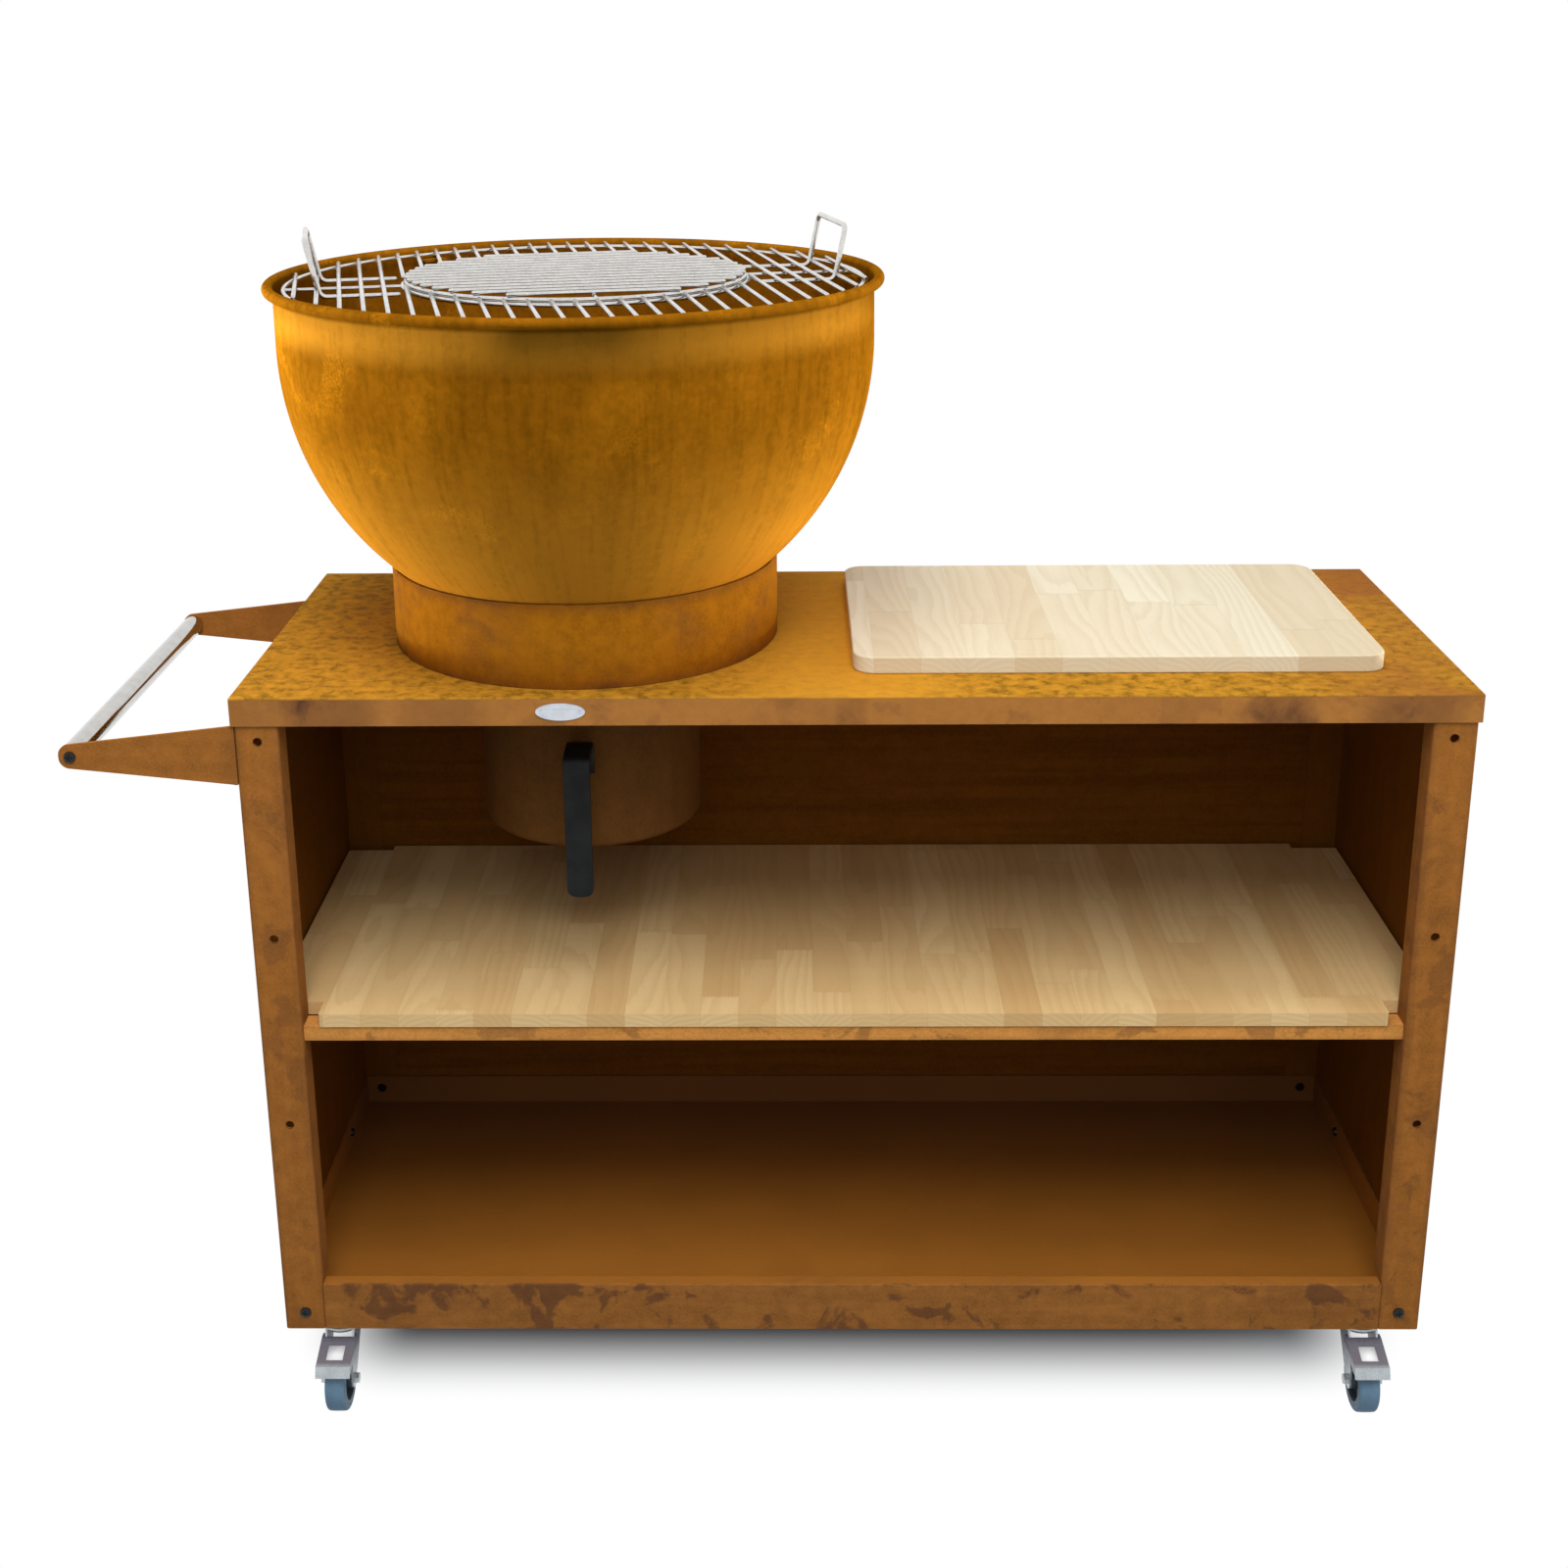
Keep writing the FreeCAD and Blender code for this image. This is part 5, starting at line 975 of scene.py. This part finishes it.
def add_tyre(sizes, tag, rubber):
    """Tread with round shoulders and a slight crown, turned about the axle."""
    low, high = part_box(f"tyre_{tag}")
    radius, half = (high.z - low.z) / 2, (high.x - low.x) / 2
    bed, turn = radius - sizes.tyre_height, sizes.tyre_round
    shoulder, near = radius - 0.0003, radius - 0.00008
    low_edge = arc((shoulder - turn, -half + turn), turn, -90, 0, 9)
    crown = [(near, -half * 0.4), (radius, 0.0), (near, half * 0.4)]
    high_edge = arc((shoulder - turn, half - turn), turn, 0, 90, 9)
    profile = np.concatenate([[(bed, 0), (bed, -half)], low_edge, crown, high_edge, [(bed, half)]])
    grid = revolve(profile, (low + high) / 2, (1, 0, 0), 128)
    add_piece(f"tread_{tag}", [grid], rubber, f"wheel_{tag}", "tyre_rubber", f"tyre_{tag}", wrap_rows=True)


def add_races(sizes, tag, zinc):
    """Pressed rings round the swivel: one under the top plate, one round the fork's crown."""
    low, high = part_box(f"caster_fork_{tag}")
    crown = ((low.x + high.x) / 2, swivel_y(tag), high.z)
    for name, radius, profile, body in (("race", RACE_RADIUS, RACE, "cabinet"),
                                        ("crown", CROWN_RADIUS, CROWN, f"caster_{tag}")):
        ring = [(radius + step + share * sizes.race_bulge, height) for step, share, height in profile]
        add_piece(f"{name}_{tag}", [revolve(ring, crown, steps=72)], zinc, body, "zinc_steel", wrap_rows=True)


def swivel_y(tag):
    """Swivel axis of a caster, set in from the outer edge of the front or the rear top plates."""
    low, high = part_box("caster_plates")
    return low.y + SWIVEL_INSET if "front" in tag else high.y - SWIVEL_INSET


class KITCHEN_OT_casters(bpy.types.Operator):
    """Swivel casters: zinc plates, races, forks and pedals, moulded wheels and rubber tyres"""
    bl_idname = "kitchen.casters"
    bl_label = "Casters"

    def execute(self, context):
        sizes, colours = scene_values(context)
        zinc = bare_metal("zinc plate", colours.zinc, (0.26, 0.42), (200.0, 200.0, 200.0))
        pedal = bare_metal("pedal steel", colours.pedal, (0.3, 0.5), below=(PEDAL_FOLD, colours.zinc),
                           metallic=0.5)
        rubber = moulded("tyre rubber", colours.tyre, (0.5, 0.7), 600.0, 0.3)
        core = moulded("wheel centre", colours.wheel, (0.4, 0.55), 900.0)
        dress(zinc, "caster_plates", "caster_bolts")
        dress(pedal, "brake_pedal_front_left", "brake_pedal_front_right")
        for tag in CORNERS:
            dress(zinc, f"caster_fork_{tag}", f"caster_axle_{tag}")
            dress(core, f"wheel_centre_{tag}")
            add_tyre(sizes, tag, rubber)
            add_races(sizes, tag, zinc)
        insert = moulded("pedal insert", colours.insert, (0.35, 0.5), 900.0)
        for tag in CORNERS[:2]:
            add_insert(sizes, tag, insert)
        return {"FINISHED"}


LIGHTS = (
    ("top light", (-0.47, -0.60, 3.60), (0.0, -0.1, 0.9), 1.00, 180, 34),
    ("front light", (0.10, -1.75, 3.20), (0.0, -0.1, 0.6), 1.50, 180, 58),
    ("low front light", (0.0, -3.2, 2.45), (0.0, 0.0, 0.6), 1.20, 180, 16),
    ("left rim light", (-2.60, 0.15, 0.80), (-0.21, 0.0, 1.45), 0.40, 30, 6.2),
    ("right rim light", (2.28, 0.50, 0.80), (-0.21, 0.0, 1.20), 0.40, 40, 6),
    ("right light", (2.6, -0.6, 1.2), (-0.1, 0.0, 1.0), 0.80, 180, 10),
)


def add_floor(colours):
    """Flat sheet P(u, v) = (u, v, 0) under the tyres; its shadow fades into plain white away from the unit."""
    reach = np.linspace(-FLOOR_REACH, FLOOR_REACH, 15)
    grid = np.stack(np.meshgrid(reach, reach, [0.0], indexing="ij"), -1)[:, :, 0]
    material, nodes, shader, spot = new_material("studio floor")
    for label, value in {"Base Color": (*colours.floor, 1), "Roughness": 0.9, "Specular IOR Level": 0.05}.items():
        shader.inputs[label].default_value = value
    seen = nodes.values("LightPath")
    low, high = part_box("bottom_tray")
    middle = (low + high) / 2
    core = ((high.x - low.x) / 2 - SHADOW_INSET, SHADOW_HALF, 0.0)
    past = nodes.math("MAXIMUM", nodes.away(spot, (middle.x, middle.y, 0.0)) - core, (0, 0, 0))
    past = nodes.take("VectorMath", {0: past}, "Value", operation="LENGTH")
    far = nodes.span(past, 0.0, SHADOW_FADE) * nodes.most(seen["Is Camera Ray"], seen["Is Glossy Ray"])
    white = nodes.take("Emission", {"Color": WHITE, "Strength": 1.0})
    both = nodes.take("MixShader", {0: far, 1: Field(nodes, shader.outputs[0]), 2: white})
    output = next(node for node in nodes.tree.nodes if node.type == "OUTPUT_MATERIAL")
    nodes.tree.links.new(both.socket, output.inputs["Surface"])
    sheet = grids_object("studio_floor", [grid.swapaxes(0, 1)], material, wrap_columns=False)


def add_world(scene):
    """White to the eye and in mirrors, dimmer as a light."""
    world = bpy.data.worlds.new("studio")
    world.use_nodes = True
    scene.world = world
    world.node_tree.nodes.clear()
    nodes = Nodes(world.node_tree)
    seen = nodes.values("LightPath")
    shown = nodes.most(*(seen[f"Is {kind} Ray"] for kind in ("Camera", "Transmission", "Glossy")))
    strength = nodes.take("MapRange", {"Value": shown, "To Min": scene.kitchen_camera.ambient, "To Max": 1.0})
    back = nodes.take("Background", {"Color": WHITE, "Strength": strength})
    nodes.put("OutputWorld", {"Surface": back})


def add_light(name, place, target, width, spread, power):
    """Square soft light that faces a point; spread is the angle of its beam in degrees."""
    data = bpy.data.lights.new(name, "AREA")
    data.size = width
    data.spread = math.radians(spread)
    data.energy = power
    lamp = bpy.data.objects.new(name, data)
    lamp.location = place
    lamp.visible_glossy = False
    lamp.rotation_euler = (Vector(target) - Vector(place)).to_track_quat("-Z", "Y").to_euler()
    bpy.context.scene.collection.objects.link(lamp)


def add_camera(scene):
    """Camera from its place, pitch, yaw and roll."""
    view = scene.kitchen_camera
    data = bpy.data.cameras.new("photo camera")
    data.lens = view.lens
    data.sensor_width = 36.0
    data.shift_x = view.shift_x
    data.shift_y = view.shift_y
    camera = bpy.data.objects.new("photo camera", data)
    level = Matrix.Rotation(-view.yaw, 4, "Z") @ Matrix.Rotation(math.pi / 2 - view.pitch, 4, "X")
    camera.matrix_world = Matrix.Translation(view.place) @ level @ Matrix.Rotation(view.roll, 4, "Z")
    scene.collection.objects.link(camera)
    scene.camera = camera


class KITCHEN_OT_stage(bpy.types.Operator):
    """White floor, studio lights, world and camera"""
    bl_idname = "kitchen.stage"
    bl_label = "Stage"

    def execute(self, context):
        scene = context.scene
        scene.view_settings.view_transform = "Standard"
        add_floor(scene.kitchen_colours)
        add_world(scene)
        for row in LIGHTS:
            add_light(*row)
        add_camera(scene)
        return {"FINISHED"}


OPERATORS = (KITCHEN_OT_cabinet, KITCHEN_OT_bowl, KITCHEN_OT_grates, KITCHEN_OT_boards, KITCHEN_OT_bucket,
             KITCHEN_OT_trim, KITCHEN_OT_casters, KITCHEN_OT_stage)


class KITCHEN_PT_sidebar(bpy.types.Panel):
    """Lists the pieces of the outdoor kitchen"""
    bl_idname = "KITCHEN_PT_sidebar"
    bl_label = "Outdoor Kitchen"
    bl_space_type = "VIEW_3D"
    bl_region_type = "UI"
    bl_category = "Kitchen"

    def draw(self, context):
        for operator in OPERATORS:
            self.layout.operator(operator.bl_idname)


GROUPS = {"kitchen_sizes": KitchenSizes, "kitchen_colours": KitchenColours, "kitchen_camera": KitchenCamera}
CLASSES = (*GROUPS.values(), *OPERATORS, KITCHEN_PT_sidebar)


def register():
    """Add the classes, and the settings of a scene."""
    for entry in CLASSES:
        bpy.utils.register_class(entry)
    for name, kind in GROUPS.items():
        setattr(bpy.types.Scene, name, bpy.props.PointerProperty(type=kind))


def unregister():
    """Take the settings and the classes away again."""
    for name in GROUPS:
        delattr(bpy.types.Scene, name)
    for entry in reversed(CLASSES):
        bpy.utils.unregister_class(entry)


def main():
    """Register, and build every piece in order."""
    register()
    bpy.ops.kitchen.cabinet()
    bpy.ops.kitchen.bowl()
    bpy.ops.kitchen.grates()
    bpy.ops.kitchen.boards()
    bpy.ops.kitchen.bucket()
    bpy.ops.kitchen.trim()
    bpy.ops.kitchen.casters()
    bpy.ops.kitchen.stage()


if __name__ == "__main__":
    main()
